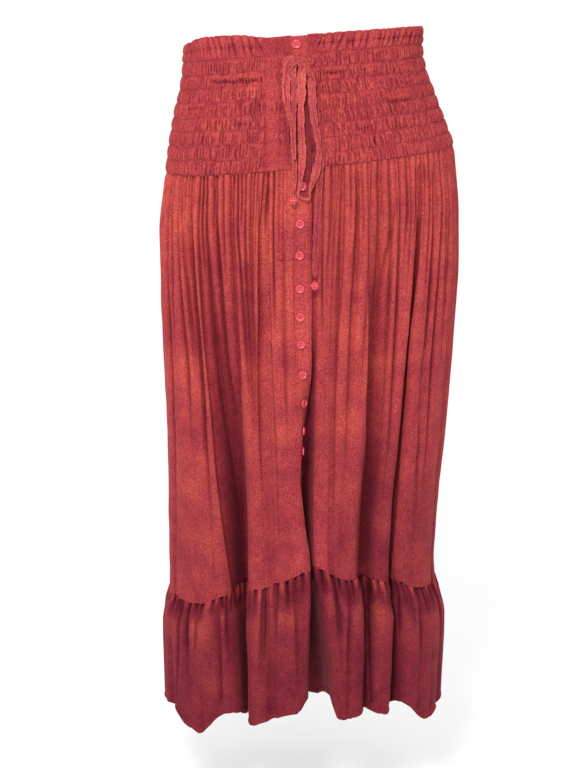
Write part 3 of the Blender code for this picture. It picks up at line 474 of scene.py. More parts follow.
def section_rows(drops, u):
    """The gathered cloth's sections before the fine pleats: points (rows, cols, 3) and insets."""
    at_seam, kinds = controls(3.0)
    at_hem, _ = controls(4.0)
    rows, insets = [], []
    for d in drops:
        here, _ = controls(d)
        p, n, _ = ring(d, here[:, 0])
        p = p - n * here[:, 1:2] * MM
        z = level(d, p[:, 0], p[:, 1], at_seam[:, 0], at_hem[:, 0])
        control = np.column_stack([p, z, here[:, 1]])
        c = spline(control, u)
        rows.append(c[:, :3])
        insets.append(c[:, 3])
    return np.array(rows), np.array(insets), kinds


def columns(level_drop, spacing, lo, hi):
    """Control indices between lo and hi whose cloth is about evenly spaced at a level."""
    u = np.linspace(lo, hi, int((hi - lo) * 24) + 1)
    speed = 0.0
    for d, w in ((2.0, 0.5), (2.35, 0.2), (level_drop, 0.3)):
        p, _, _ = section_rows((d,), u)
        speed = speed + w * np.linalg.norm(np.diff(p[0][:, :2], axis=0), axis=1)
    s = np.concatenate([[0], np.cumsum(speed)])
    n = max(8, int(s[-1] / spacing))
    return np.interp(np.linspace(0, s[-1], n + 1), s, u)


def run_length(points):
    """Arc length along each section, level only."""
    step = np.linalg.norm(np.diff(points[..., :2], axis=-2), axis=-1)
    return np.concatenate([np.zeros(step.shape[:-1] + (1,)), np.cumsum(step, axis=-1)], axis=-1)


def furrows(run, top, rows_t, starts, seed, profile, sharp=1.25):
    """Height field (rows, cols), in metres, of fine valleys that start at the top row and follow the cloth.

    run: arc length along every row. top: each column's place along the top row. starts: the valleys'
    places there. profile(k, t, numbers) gives a valley's depth, half width and drift down the rows.
    """
    rng = np.random.default_rng(seed)
    out = np.zeros_like(run)
    every = np.arange(run.shape[1])
    row = np.arange(run.shape[0])
    for k, at in enumerate(starts):
        depth, half, drift = profile(k, rows_t, rng.random(6))
        c = np.interp(at + drift, top, every)
        i = np.minimum(c.astype(int), run.shape[1] - 2)
        s = run[row, i] * (1 - (c - i)) + run[row, i + 1] * (c - i)
        a, b = max(0, int(c.min()) - 60), min(run.shape[1], int(c.max()) + 60)
        x = (run[:, a:b] - s[:, None]) / half[:, None]
        out[:, a:b] -= depth[:, None] * np.exp(-np.abs(x) ** sharp)
    return out


def scatter(length, spacing, seed):
    """Uneven places along a length."""
    rng = np.random.default_rng(seed)
    out, at = [], rng.uniform(0.2, 1.0) * spacing[0]
    while at < length:
        out.append(at)
        at += rng.uniform(*spacing)
    return np.array(out)


def clusters(length, seed):
    """Places along a length, some close together and some well apart."""
    rng = np.random.default_rng(seed)
    out, at = [], 2.0 * MM
    while at < length:
        out.append(at)
        at += (rng.uniform(4.0, 5.6) if rng.random() < 0.45 else rng.uniform(6.6, 10.4)) * MM
    return np.array(out)


def crease_column(rows, points):
    """Column, as a fraction, where a traced crease lies on the outermost layer of every row."""
    at = np.array(points, float)
    order = np.argsort(at[:, 1])
    xs = np.interp(rows[..., 2] / MM, at[order, 1], at[order, 0])
    g = rows[..., 0] / MM - xs
    found = np.full(rows.shape[0], np.nan)
    for r in range(rows.shape[0]):
        change = np.nonzero((g[r, :-1] * g[r, 1:] <= 0) & (rows[r, :-1, 1] < 0.01))[0]
        if len(change):
            k = change[np.argmin(rows[r, change, 1])]
            step = g[r, k] - g[r, k + 1]
            found[r] = k + (g[r, k] / step if abs(step) > 1e-9 else 0.0)
    good = ~np.isnan(found)
    if not good.any():
        return None
    r = np.arange(len(found))
    found = np.interp(r, r[good], found[good])
    near = np.pad(found, 3, mode="edge")
    return np.convolve(near, np.array([1, 2, 3, 4, 3, 2, 1]) / 16.0, mode="valid")


def crease_field(rows, run, creases):
    """Height field, in metres, of creases traced on the front: see CREASES."""
    out = np.zeros_like(run)
    row = np.arange(run.shape[0])
    for points, depths, left, right, lift in creases:
        c = crease_column(rows, points)
        if c is None:
            continue
        i = np.clip(c.astype(int), 0, run.shape[1] - 2)
        s = run[row, i] * (1 - (c - i)) + run[row, i + 1] * (c - i)
        z = rows[row, i, 2] / MM
        zs = np.array([p[1] for p in points])
        d = np.interp(-z, -zs, depths, left=0.0, right=0.0)
        fade = ease((zs[0] + 14 - z) / 16.0) * ease((z - zs[-1] + 14) / 16.0)
        d = np.where(z > zs[0], depths[0], np.where(z < zs[-1], depths[-1], d)) * fade * MM
        a, b = max(0, int(c.min()) - 70), min(run.shape[1], int(c.max()) + 70)
        q = (run[:, a:b] - s[:, None]) / MM
        wide = np.where(q < 0, left, right)
        out[:, a:b] -= d[:, None] * np.exp(-np.abs(q / wide) ** 1.2)
        if lift:
            side = -1.0 if left < right else 1.0
            out[:, a:b] += d[:, None] * lift * np.exp(-(((q - side * 3.4) / 2.6) ** 2))
    return out


# ------------------------------------------------------------------------------------------------
# meshes
# ------------------------------------------------------------------------------------------------
def grid_mesh(name, points, flip=False, wrap=False, tint=None):
    """A cloth surface from a grid of points (rows, cols, 3), outer side out."""
    rows, cols = points.shape[:2]
    r, c = np.meshgrid(np.arange(rows - 1), np.arange(cols if wrap else cols - 1), indexing="ij")
    n = (c + 1) % cols
    quads = np.stack([r * cols + c, (r + 1) * cols + c, (r + 1) * cols + n, r * cols + n], axis=-1).reshape(-1, 4)
    if flip:
        quads = quads[:, ::-1]
    return raw_mesh(name, points.reshape(-1, 3), quads, None if tint is None else tint.reshape(-1, tint.shape[-1]))


def raw_mesh(name, verts, quads, tint=None):
    mesh = bpy.data.meshes.new(name)
    mesh.vertices.add(len(verts))
    mesh.vertices.foreach_set("co", np.asarray(verts, np.float32).ravel())
    k = quads.shape[1]
    mesh.loops.add(quads.size)
    mesh.loops.foreach_set("vertex_index", np.ascontiguousarray(quads, np.int32).ravel())
    mesh.polygons.add(len(quads))
    mesh.polygons.foreach_set("loop_start", np.arange(0, quads.size, k, dtype=np.int32))
    mesh.update()
    mesh.validate()
    mesh.shade_smooth()
    if tint is not None:
        a = mesh.attributes.new("dye_and_painted_light", "FLOAT_COLOR", "POINT")
        full = np.ones((len(verts), 4), np.float32)
        full[:, : tint.shape[1]] = tint
        a.data.foreach_set("color", full.ravel())
    obj = bpy.data.objects.new(name, mesh)
    bpy.context.scene.collection.objects.link(obj)
    return obj


# ------------------------------------------------------------------------------------------------
# dye: soft patches of orange, brick and wine, some of them painted shade; masks where shade is painted
# ------------------------------------------------------------------------------------------------
# across (mm), height (mm), half width, half height (mm), tone: above 0 towards orange, below towards wine; several wine
# patches in the recesses and folds are painted shade
DYE_AND_SHADE_PATCHES = (
    (-151.0, -228.0, 17.0, 24.0, 0.60),
    (-138.0, -246.0, 15.0, 15.0, 0.55),
    (-64.0, -236.0, 16.0, 22.0, 0.50),
    (97.0, -279.0, 18.0, 22.0, 0.60),
    (53.0, -369.0, 18.0, 24.0, 0.55),
    (-30.0, -323.0, 14.0, 30.0, 0.60),
    (-7.0, -205.0, 14.0, 18.0, 0.20),
    (-78.0, -259.0, 14.0, 15.0, 0.50),
    (-158.0, -421.0, 16.0, 17.0, 0.65),
    (-137.0, -462.0, 14.0, 15.0, 0.55),
    (-157.0, -595.0, 17.0, 20.0, 0.60),
    (-72.5, -418.0, 16.0, 18.0, 0.70),
    (-35.0, -369.0, 16.0, 20.0, 0.55),
    (-34.0, -504.0, 18.0, 17.0, 0.70),
    (52.0, -492.0, 16.0, 20.0, 0.55),
    (49.0, -581.0, 15.0, 18.0, 0.50),
    (89.0, -416.0, 16.0, 20.0, 0.55),
    (-73.0, -448.0, 13.0, 13.0, 0.45),
    (-140.0, -662.0, 20.0, 22.0, 0.55),
    (103.0, -467.0, 14.0, 16.0, 0.45),
    (102.0, -630.0, 17.0, 20.0, 0.50),
    (-52.0, -640.0, 18.0, 20.0, 0.45),
    (-161.0, -521.0, 15.0, 24.0, -0.60),
    (-111.5, -535.0, 14.0, 26.0, -0.65),
    (-104.0, -588.0, 16.0, 26.0, -0.55),
    (99.0, -545.0, 14.0, 30.0, -0.45),
    (94.0, -380.0, 11.0, 20.0, -0.40),
    (154.5, -429.0, 14.0, 30.0, -0.50),
    (43.0, -652.0, 16.0, 24.0, -0.60),
    (138.0, -632.0, 18.0, 30.0, -0.60),
    (-112.0, -300.0, 13.0, 30.0, -0.35),
    (32.0, -262.0, 12.0, 30.0, -0.40),
    # flounce
    (-150.0, -790.0, 14.0, 24.0, 0.75),
    (-128.0, -868.0, 18.0, 16.0, 0.60),
    (-52.0, -812.0, 18.0, 22.0, 0.45),
    (-20.0, -762.0, 9.0, 22.0, 0.80),
    (-60.0, -868.0, 26.0, 14.0, 0.35),
    (62.0, -760.0, 12.0, 18.0, 0.60),
    (98.0, -762.0, 12.0, 20.0, 0.60),
    (98.0, -850.0, 12.0, 18.0, 0.50),
    (150.0, -880.0, 20.0, 12.0, 0.35),
    (-92.0, -800.0, 22.0, 60.0, -0.70),
    (-34.0, -850.0, 16.0, 26.0, -0.35),
    (122.0, -800.0, 16.0, 40.0, -0.45),
    (72.0, -830.0, 9.0, 50.0, -0.55),
    # shirred yoke
    (-70.0, -62.0, 30.0, 8.0, 0.45),
    (-45.0, -96.0, 9.0, 46.0, 0.16),
    (-120.0, -110.0, 26.0, 12.0, 0.25),
    (70.0, -60.0, 30.0, 10.0, 0.30),
    (110.0, -120.0, 26.0, 14.0, -0.25),
    (-140.0, -70.0, 20.0, 26.0, -0.25),
)


# painted shade: cloth that lies back between two folds is darkened towards wine: height (mm), left and right bound
# (mm), strength
PAINTED_RECESS_SHADE = (
    ((-300.0, -136.0, -90.0, 0.0), (-360.0, -133.0, -88.5, 0.35), (-420.0, -129.5, -87.0, 0.75), (-485.0, -124.0, -86.0, 1.0), (-546.0, -120.0, -85.0, 1.0), (-622.0, -113.0, -84.0, 1.0), (-692.0, -105.0, -84.0, 1.0), (-745.0, -99.0, -84.0, 1.0)),
    ((-400.0, 79.0, 100.0, 0.0), (-470.0, 77.5, 112.0, 0.45), (-543.0, 75.5, 120.0, 0.7), (-620.0, 72.5, 117.0, 0.95), (-690.0, 70.0, 113.0, 1.0), (-740.0, 68.0, 110.0, 1.0)),
)


# painted shade: the cloth under the lap of the button band is tinted towards wine
PAINTED_LAP_SHADE = (
    ((-330.0, -14.0, 13.0, 0.0), (-380.0, -14.0, 12.5, 0.7), (-420.0, -14.0, 12.0, 1.0), (-456.0, -14.0, 11.0, 1.0), (-501.0, -14.0, 10.0, 1.0), (-546.0, -14.0, 9.0, 1.0), (-641.0, -14.0, 9.0, 1.0), (-745.0, -14.0, 9.0, 1.0)),
)


def recess(points, tables=PAINTED_RECESS_SHADE):
    """1 in the recesses of the panels (or under the lap, with those tables), where shade is painted; 0 elsewhere."""
    x, z = points[..., 0] / MM, points[..., 2] / MM
    out = np.zeros_like(x)
    for rows in tables:
        data = np.array(rows)
        lo, hi, amount = (np.interp(-z, -data[:, 0], data[:, c]) for c in (1, 2, 3))
        out = np.maximum(out, amount * ease((x - lo) / 5.0) * ease((hi - x) / 4.0) * (points[..., 1] < 0))
    return out


def slot(points):
    """1 inside the gap beside the button band; there the painted fold shade is left out, and on the panels a little
    painted shade and wine tone go on instead.
    """
    x, z = points[..., 0] / MM, points[..., 2] / MM
    return ease((x + 24) / 8) * ease((30 - x) / 8) * ease((-330 - z) / 60) * (points[..., 1] < 0)


def dye_and_painted_light(points, extra=0.0):
    """Vertex tint's red channel: the dye tone, 0 wine, 0.5 brick, 1 orange; extra adds painted light and shade at many
    places.
    """
    p = points
    tone = 0.16 * noise(p, (0.036, 0.036, 0.060), 3.3)
    tone = tone + 0.19 * noise(p, (0.014, 0.014, 0.030), 7.7)
    tone = tone + 0.23 * noise(p, (0.030, 0.030, 0.017), 1.9)
    tone = tone + 0.10 * noise(p, (0.110, 0.110, 0.200), 5.9)
    tone = tone * (1 - 0.55 * ease((p[..., 2] + 0.170) / 0.020))
    front = (p[..., 1] < 0).astype(float)
    for x, z, w, h, amount in DYE_AND_SHADE_PATCHES:
        away = ((p[..., 0] - x * MM) / (w * MM)) ** 2 + ((p[..., 2] - z * MM) / (h * MM)) ** 2
        tone = tone + front * (0.72 if amount > 0 else 0.50) * amount * np.exp(-(away**1.4))
    tone = tone + extra
    return np.clip(0.5 + 0.5 * tone, 0, 1)


def tint_of(points, inset=0.0, extra=0.0, shade=0.0):
    """dye tone with painted light and shade; painted shade in folds, recesses and furrows, and the band's dark rows of
    stitches; painted shade over the piece.
    """
    t = dye_and_painted_light(points, extra)
    deep = np.clip(np.broadcast_to(np.asarray(inset) / 10.0, t.shape), 0, 1)
    return np.stack([t, deep, np.broadcast_to(np.asarray(shade, float), t.shape)], axis=-1)


# ------------------------------------------------------------------------------------------------
# materials
# ------------------------------------------------------------------------------------------------
def new_material(name, rough=0.88, spec=0.07):
    m = bpy.data.materials.new(name)
    m.use_nodes = True
    t = m.node_tree
    s = t.nodes["Principled BSDF"]
    s.inputs["Roughness"].default_value = rough
    s.inputs["Specular IOR Level"].default_value = spec
    return m, t, s


def cloth_material(name, wine, brick, orange, weave=1.0):
    m, t, s = new_material(name)
    link = t.links.new
    s.inputs["Sheen Weight"].default_value = 0.09
    s.inputs["Sheen Roughness"].default_value = 0.45
    s.inputs["Sheen Tint"].default_value = (1.0, 0.36, 0.40, 1.0)
    attr = t.nodes.new("ShaderNodeAttribute")
    attr.attribute_name = "dye_and_painted_light"
    sep = t.nodes.new("ShaderNodeSeparateColor")
    link(attr.outputs["Color"], sep.inputs[0])
    coord = t.nodes.new("ShaderNodeTexCoord")

    # heathered yarn: fine cells, a little longer down the cloth
    mapping = t.nodes.new("ShaderNodeMapping")
    mapping.inputs["Scale"].default_value = (1.0, 1.0, 0.85)
    link(coord.outputs["Object"], mapping.inputs["Vector"])
    yarn = t.nodes.new("ShaderNodeTexNoise")
    yarn.inputs["Scale"].default_value = 640.0
    yarn.inputs["Detail"].default_value = 2.0
    yarn.inputs["Roughness"].default_value = 0.6
    link(mapping.outputs[0], yarn.inputs["Vector"])
    cloud = t.nodes.new("ShaderNodeTexNoise")
    cloud.inputs["Scale"].default_value = 90.0
    cloud.inputs["Detail"].default_value = 4.0
    link(mapping.outputs[0], cloud.inputs["Vector"])

    mixed2 = t.nodes.new("ShaderNodeMath")
    mixed2.operation = "MULTIPLY_ADD"
    link(cloud.outputs["Fac"], mixed2.inputs[0])
    mixed2.inputs[1].default_value = 0.50
    link(sep.outputs[0], mixed2.inputs[2])
    centred = t.nodes.new("ShaderNodeMath")
    centred.operation = "SUBTRACT"
    link(mixed2.outputs[0], centred.inputs[0])
    centred.inputs[1].default_value = 0.25
    ramp = t.nodes.new("ShaderNodeValToRGB")
    ramp.color_ramp.elements[0].position = 0.05
    ramp.color_ramp.elements[0].color = (*wine, 1)
    ramp.color_ramp.elements[1].position = 0.95
    ramp.color_ramp.elements[1].color = (*orange, 1)
    e = ramp.color_ramp.elements.new(0.5)
    e.color = (*brick, 1)
    link(centred.outputs[0], ramp.inputs[0])

    # single yarns took the dye unevenly
    fleck = t.nodes.new("ShaderNodeValToRGB")
    fleck.color_ramp.elements[0].position = 0.34
    fleck.color_ramp.elements[0].color = (0.76, 0.46, 0.49, 1)
    fleck.color_ramp.elements[1].position = 0.68
    fleck.color_ramp.elements[1].color = (1.22, 1.95, 1.86, 1)
    link(yarn.outputs["Fac"], fleck.inputs[0])
    flecked = t.nodes.new("ShaderNodeMix")
    flecked.data_type = "RGBA"
    flecked.blend_type = "MULTIPLY"
    flecked.inputs[0].default_value = 1.0
    link(ramp.outputs[0], flecked.inputs[6])
    link(fleck.outputs[0], flecked.inputs[7])

    # painted shade: the colour is darkened towards wine by the tint's second channel, in folds, recesses, pucker
    # valleys and tie furrows, and on the band's rows of stitches
    fold = t.nodes.new("ShaderNodeMix")
    fold.data_type = "RGBA"
    fold.blend_type = "MULTIPLY"
    link(flecked.outputs[2], fold.inputs[6])
    fold.inputs[7].default_value = (0.38, 0.13, 0.28, 1.0)
    link(sep.outputs[1], fold.inputs[0])
    # painted shade: the tint's third channel darkens the colour towards wine, towards the foot, over the flounce, in
    # gaps and behind the tie
    painted_shade_mix = t.nodes.new("ShaderNodeMix")
    painted_shade_mix.data_type = "RGBA"
    painted_shade_mix.blend_type = "MULTIPLY"
    link(fold.outputs[2], painted_shade_mix.inputs[6])
    painted_shade_mix.inputs[7].default_value = (0.50, 0.42, 0.60, 1.0)
    link(sep.outputs[2], painted_shade_mix.inputs[0])
    link(painted_shade_mix.outputs[2], s.inputs["Base Color"])

    # crepe: fine pebbled bump with a faint crinkle down the cloth
    pebble = t.nodes.new("ShaderNodeBump")
    pebble.inputs["Strength"].default_value = 0.35 * weave
    pebble.inputs["Distance"].default_value = 0.0004
    link(yarn.outputs["Fac"], pebble.inputs["Height"])
    crinkle_map = t.nodes.new("ShaderNodeMapping")
    crinkle_map.inputs["Scale"].default_value = (1.0, 1.0, 0.12)
    link(coord.outputs["Object"], crinkle_map.inputs["Vector"])
    crinkle = t.nodes.new("ShaderNodeTexNoise")
    crinkle.inputs["Scale"].default_value = 260.0
    crinkle.inputs["Detail"].default_value = 2.0
    link(crinkle_map.outputs[0], crinkle.inputs["Vector"])
    second = t.nodes.new("ShaderNodeBump")
    second.inputs["Strength"].default_value = 0.35 * weave
    second.inputs["Distance"].default_value = 0.0007
    link(crinkle.outputs["Fac"], second.inputs["Height"])
    link(pebble.outputs[0], second.inputs["Normal"])
    link(second.outputs[0], s.inputs["Normal"])
    return m


CLOTH = cloth_material("crepe_cloth", (0.195, 0.013, 0.026), (0.335, 0.033, 0.039), (0.470, 0.059, 0.045))
BAND = cloth_material("crepe_band_cloth", (0.200, 0.013, 0.026), (0.365, 0.037, 0.042), (0.510, 0.066, 0.047), 0.8)
TIE = cloth_material("crepe_tie_cloth", (0.200, 0.014, 0.030), (0.365, 0.041, 0.050), (0.520, 0.078, 0.070), 0.8)


def plastic_material():
    m, t, s = new_material("coral_button", 0.28, 0.5)
    s.inputs["Coat Weight"].default_value = 0.35
    s.inputs["Coat Roughness"].default_value = 0.15
    coord = t.nodes.new("ShaderNodeTexCoord")
    n = t.nodes.new("ShaderNodeTexNoise")
    n.inputs["Scale"].default_value = 240.0
    n.inputs["Detail"].default_value = 3.0
    t.links.new(coord.outputs["Object"], n.inputs["Vector"])
    ramp = t.nodes.new("ShaderNodeValToRGB")
    ramp.color_ramp.elements[0].position = 0.3
    ramp.color_ramp.elements[0].color = (0.52, 0.036, 0.056, 1)
    ramp.color_ramp.elements[1].position = 0.75
    ramp.color_ramp.elements[1].color = (0.66, 0.068, 0.088, 1)
    t.links.new(n.outputs["Fac"], ramp.inputs[0])
    t.links.new(ramp.outputs[0], s.inputs["Base Color"])
    b = t.nodes.new("ShaderNodeBump")
    b.inputs["Strength"].default_value = 0.08
    b.inputs["Distance"].default_value = 0.0003
    t.links.new(n.outputs["Fac"], b.inputs["Height"])
    t.links.new(b.outputs[0], s.inputs["Normal"])
    return m


PLASTIC = plastic_material()


def dress(obj, nodes, material):
    obj.data.materials.append(material)
    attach(obj, "root")
    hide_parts(*nodes)
    return obj


# ------------------------------------------------------------------------------------------------
# the gathered body
# ------------------------------------------------------------------------------------------------
_, KINDS = controls(3.0)
SEAM_AT = [i for i, k in enumerate(KINDS) if k == "seam"]
CUTS = [0] + SEAM_AT + [len(KINDS) - 1]
PARTS = ("front_left", "back", "front_right")
COLS = {}
for part, lo, hi in zip(PARTS, CUTS[:-1], CUTS[1:]):
    COLS[part] = columns(3.0, (0.48 if part != "back" else 1.7) * MM, lo, hi)

ALL_U = np.concatenate([COLS["front_left"], COLS["back"][1:], COLS["front_right"][1:]])
BREAK = np.cumsum([0] + [len(COLS[p]) - 1 for p in PARTS])


def gap_shade(points):
    """Deep shade in the narrow gap between the tie's strands."""
    x, z = points[..., 0] / MM, points[..., 2] / MM
    middle = np.interp(-z, (60.0, 75.0, 90.0, 106.0, 118.0, 130.0, 150.0, 165.0, 175.0, 186.0), (-2.8, -3.0, -2.2, -1.2, 0.7, 2.2, 1.3, -1.9, -4.0, -6.0))
    half = np.interp(-z, (60.0, 75.0, 90.0, 106.0, 118.0, 130.0, 150.0, 165.0, 190.0), (1.6, 2.4, 4.4, 5.4, 6.0, 6.6, 6.0, 5.0, 5.0))
    across = np.exp(-(((x - middle) / half) ** 4))
    gap = 0.90 * across * ease((-62 - z) / 14) * ease((z + 197) / 8)
    left = np.interp(-z, (30.0, 45.0, 140.0, 160.0, 195.0), (-30.0, -38.0, -33.0, -24.0, -16.0))
    right = np.interp(-z, (30.0, 50.0, 120.0, 150.0, 195.0), (-6.0, 12.5, 18.5, 18.0, 8.0))
    # painted shade on the cloth behind and beside the tie
    behind = 0.40 * ease((x - left) / 4.5) * ease((right - x) / 2.5) * ease((-30 - z) / 6) * ease((z + 196) / 8)
    return np.maximum(gap, behind) * (points[..., 1] < 0)


def opening_at(drop, column):
    if drop < 2.0:
        if column == 1:
            return -2.55 - 0.5 * BAND_WIDTH / MM / mm_per_degree(drop, 0.0)
        return float(table(OPENING, column, 2.0))
    return float(table(OPENING, column, drop))


def pleat(k, t, r):
    """One fine valley below the yoke: every second dies out soon, every fourth later, and so on."""
    if k % 2:
        life, size, wide = 0.12 + 0.14 * r[0], 4.2, 1.45
    elif k % 4:
        life, size, wide = 0.30 + 0.26 * r[0], 4.8, 1.55
    elif k % 8:
        life, size, wide = 0.55 + 0.40 * r[0], 4.8, 1.6
    else:
        life, size, wide = 0.98 + 0.35 * r[0], 4.8, 1.7
    start = 0.45 + 0.55 * ease((t + 0.001) / 0.012)
    gone = 1 - ease((t - life * 0.5) / (life * 0.8))
    keep = 0.0 if k % 2 else (0.15 if k % 4 else 0.5)
    depth = (size + 2.6 * r[1]) * MM * start * gone * (1 + keep * ease((t - 0.05) / 0.3)) * (1 - 0.72 * ease((t - 0.35) / 0.5))
    half = (wide + 0.4 * r[2]) * MM * (1 + (0.45 + keep) * ease((t - 0.01) / 0.35))
    drift = (r[3] - 0.5) * 6 * MM * t + 0.9 * MM * wave(t * 9, 5 + k * 0.37) * ease(t / 0.05)
    return depth, half, drift


# creases traced on the front: places (across, height, mm) down the crease; depth at each (mm);
# width of its left and right side (mm); how far the cloth beside its sharp side stands up, as a
# share of the depth
CREASES = (
    # the wide recess left of the buttons: crisp left lip, dark line inside it, right lip
    (((-142, -215), (-140, -276), (-136, -354), (-131, -419), (-125, -485), (-121, -546), (-114, -622), (-106, -692), (-100, -745)), (0.5, 2.0, 3.0, 4.5, 6.0, 7.0, 7.5, 7.0, 6.0), 1.3, 9.0, 0.22),
    (((-119, -185), (-118, -217), (-115, -248), (-110, -326), (-104, -417), (-94, -483), (-91, -540)), (2.5, 4.0, 5.5, 6.5, 7.0, 5.0, 2.0), 4.5, 1.4, 0.10),
    (((-96, -184), (-96, -235), (-93, -286), (-90, -351), (-87, -416), (-86, -482), (-85, -543)), (3.5, 4.5, 4.5, 4.0, 4.0, 4.0, 3.0), 5.0, 1.5, 0.15),
    (((-62.5, -189), (-62.5, -235), (-61.6, -309), (-60.8, -415), (-60.5, -481), (-61.4, -542)), (4.5, 6.0, 6.0, 5.0, 3.0, 1.5), 1.4, 2.6, 0.12),
    (((-51.1, -189), (-50.5, -234), (-48.9, -309), (-46.6, -415), (-44.2, -481), (-40.4, -552), (-38.0, -651)), (4.0, 4.5, 5.5, 6.0, 4.5, 3.0, 2.0), 2.4, 1.4, 0.12),
    (((-163, -205), (-159.6, -278), (-153, -356), (-148, -421)), (3.0, 3.5, 3.0, 1.5), 1.5, 2.4, 0.10),
    (((-177.4, -190), (-177, -280), (-175, -372)), (2.0, 2.5, 1.5), 1.5, 2.0, 0.0),
    (((-155.7, -173), (-155.2, -251), (-152.2, -316)), (2.5, 2.5, 1.5), 1.3, 1.8, 0.0),
    # right of the buttons
    (((41.4, -160), (39.4, -233), (37.5, -310), (35.6, -389), (33.8, -483), (33.6, -618)), (4.5, 5.5, 6.0, 6.0, 4.5, 2.0), 1.5, 1.3, 0.15),
    (((28.4, -160), (26.8, -233), (24.5, -274), (23.5, -310)), (4.0, 4.5, 3.5, 2.0), 1.3, 1.5, 0.0),
    (((61.4, -164), (60.9, -233), (58.8, -278)), (3.0, 3.5, 2.0), 1.3, 1.7, 0.0),
    (((78.6, -161), (79.3, -235), (79.1, -272), (79.6, -350), (77.9, -416), (75.6, -482), (73.8, -543), (70.8, -620), (68.5, -690)), (2.5, 3.5, 5.5, 8.0, 9.0, 9.5, 9.5, 9.0, 8.0), 1.3, 13.0, 0.16),
    (((139.4, -163), (139.9, -238), (137.7, -288), (132.5, -354), (128.6, -419), (124.7, -486), (121.9, -547), (118.1, -625), (113.4, -702)), (3.0, 3.5, 4.0, 4.5, 5.0, 5.0, 5.0, 5.0, 5.0), 7.0, 1.4, 0.14),
    (((107.7, -216), (104.4, -247), (98.4, -275), (91.3, -311), (88.0, -351)), (3.5, 5.0, 5.5, 4.0, 2.0), 3.5, 1.6, 0.12),
    (((159.3, -169), (160.5, -240), (158.3, -315), (154.3, -369), (150.2, -421), (147.8, -488), (146.9, -562), (145.8, -629)), (3.0, 4.0, 5.5, 5.0, 4.0, 3.0, 2.5, 1.5), 4.0, 1.5, 0.12),
    (((177.4, -202), (177.8, -279), (178.7, -359), (177.6, -413)), (2.5, 3.0, 2.5, 1.5), 2.0, 1.6, 0.0),
    (((147.2, -161), (147.3, -212), (147.4, -250)), (3.0, 3.5, 2.0), 1.3, 1.5, 0.0),
)

SHORT_CREASE = ((-44.0, -270.6), (-38.0, -272.2), (-29.0, -272.9), (-24.0, -272.0), (-18.0, -270.2))
body_t = np.concatenate([np.linspace(0, 0.024, 7), 0.024 + 0.976 * np.linspace(0, 1, 108)[1:], np.linspace(0.2035, 0.2135, 8)])
body_t = np.sort(body_t)
body_rows, body_inset, _ = section_rows(2.0 + body_t, ALL_U)
body_run = run_length(body_rows)
starts = clusters(body_run[0, -1], 91)
field = furrows(body_run, body_run[0], body_t, starts, 92, pleat)
field = field + (2.4 * MM * ease(body_t / 0.02) * (1 - 0.7 * ease(body_t / 0.4)))[:, None]
# the pleats lie deeper on the wearer's right than on the left
front_side = body_rows[:1, :, 1] < 0
field = field * np.where(front_side, 1.12 - 0.30 * ease((body_rows[:1, :, 0] + 0.01) / 0.05), 1.0)
made = crease_field(body_rows, body_run, CREASES)
field = field * np.exp(-np.abs(made) / (9 * MM)) + made
# the smooth strip beside the buttons and the cloth at both edges of the opening stay plain
top_run = body_run[0]
calm = ease((top_run - 3 * MM) / (8 * MM)) * ease((top_run[-1] - 12 * MM - top_run) / (12 * MM))
normals = outward(body_rows)
# gathers of the flounce pull short puckers into the foot of the panels
SEAM_RUN = body_run[-1]
gathers = scatter(SEAM_RUN[-1], (8.5 * MM, 17.0 * MM), 311)
foot = np.zeros_like(field)
rng = np.random.default_rng(5)
for at in gathers:
    size, rise = rng.uniform(0.8, 2.2) * MM, rng.uniform(0.012, 0.035)
    c = np.searchsorted(SEAM_RUN, at)
    a, b = max(0, c - 25), min(len(SEAM_RUN), c + 25)
    x = (SEAM_RUN[None, a:b] - at) / (2.2 * MM)
    foot[:, a:b] -= size * np.exp(-((1 - body_t) / rise) ** 1.5)[:, None] * np.exp(-np.abs(x) ** 1.3)
body_rows = body_rows + normals * ((field * calm[None, :]) + foot)[..., None]
wobble = noise(body_rows, (0.035, 0.035, 0.09), 5.1) * 1.3 * MM
skew = np.stack([body_rows[..., 0] + 0.55 * body_rows[..., 2], body_rows[..., 1], body_rows[..., 2]], axis=-1)
wobble = wobble + noise(skew, (0.016, 0.060, 0.060), 9.1) * 0.55 * MM
slant = np.stack([body_rows[..., 0], body_rows[..., 1], body_rows[..., 2] + 0.7 * body_rows[..., 0]], axis=-1)
pull = (noise(slant, (0.030, 0.060, 0.013), 2.7) * 0.55 + noise(slant, (0.060, 0.060, 0.034), 6.7) * 0.6) * MM
body_rows = body_rows + normals * (pull * (ease(body_t / 0.03)[:, None] * (1 - calm)[None, :] * (body_rows[..., 1] < 0) * (body_rows[..., 0] < -0.025)))[..., None]
line = np.array(SHORT_CREASE)
off = body_rows[..., 2] / MM - np.interp(body_rows[..., 0] / MM, line[:, 0], line[:, 1])
short = ease((body_rows[..., 0] / MM + 45) / 4) * ease((-17 - body_rows[..., 0] / MM) / 3) * (body_rows[..., 1] < 0)
dent = short * (0.9 * np.exp(-(((off - 2.6) / 1.8) ** 2)) - 1.2 * np.exp(-((off / 0.8) ** 2)))
body_rows = body_rows + normals * (wobble * ease(body_t / 0.1)[:, None] * calm[None, :] + dent * MM)[..., None]


def zigzag(run, seed):
    """The seam's uneven line, pulled up and down between the gathers."""
    rng = np.random.default_rng(seed)
    ups = rng.uniform(-2.2, 2.2, len(gathers)) * MM
    mids = 0.5 * (gathers[1:] + gathers[:-1])
    x = np.concatenate([[0], np.sort(np.concatenate([gathers, mids])), [run[-1]]])
    z = np.zeros(len(x))
    z[1:-1:2] = ups[: len(z[1:-1:2])]
    return np.interp(run, x, z)


seam_line = zigzag(SEAM_RUN, 8)
body_rows[..., 2] += seam_line[None, :] * np.exp(-((1 - body_t) / 0.012))[:, None]

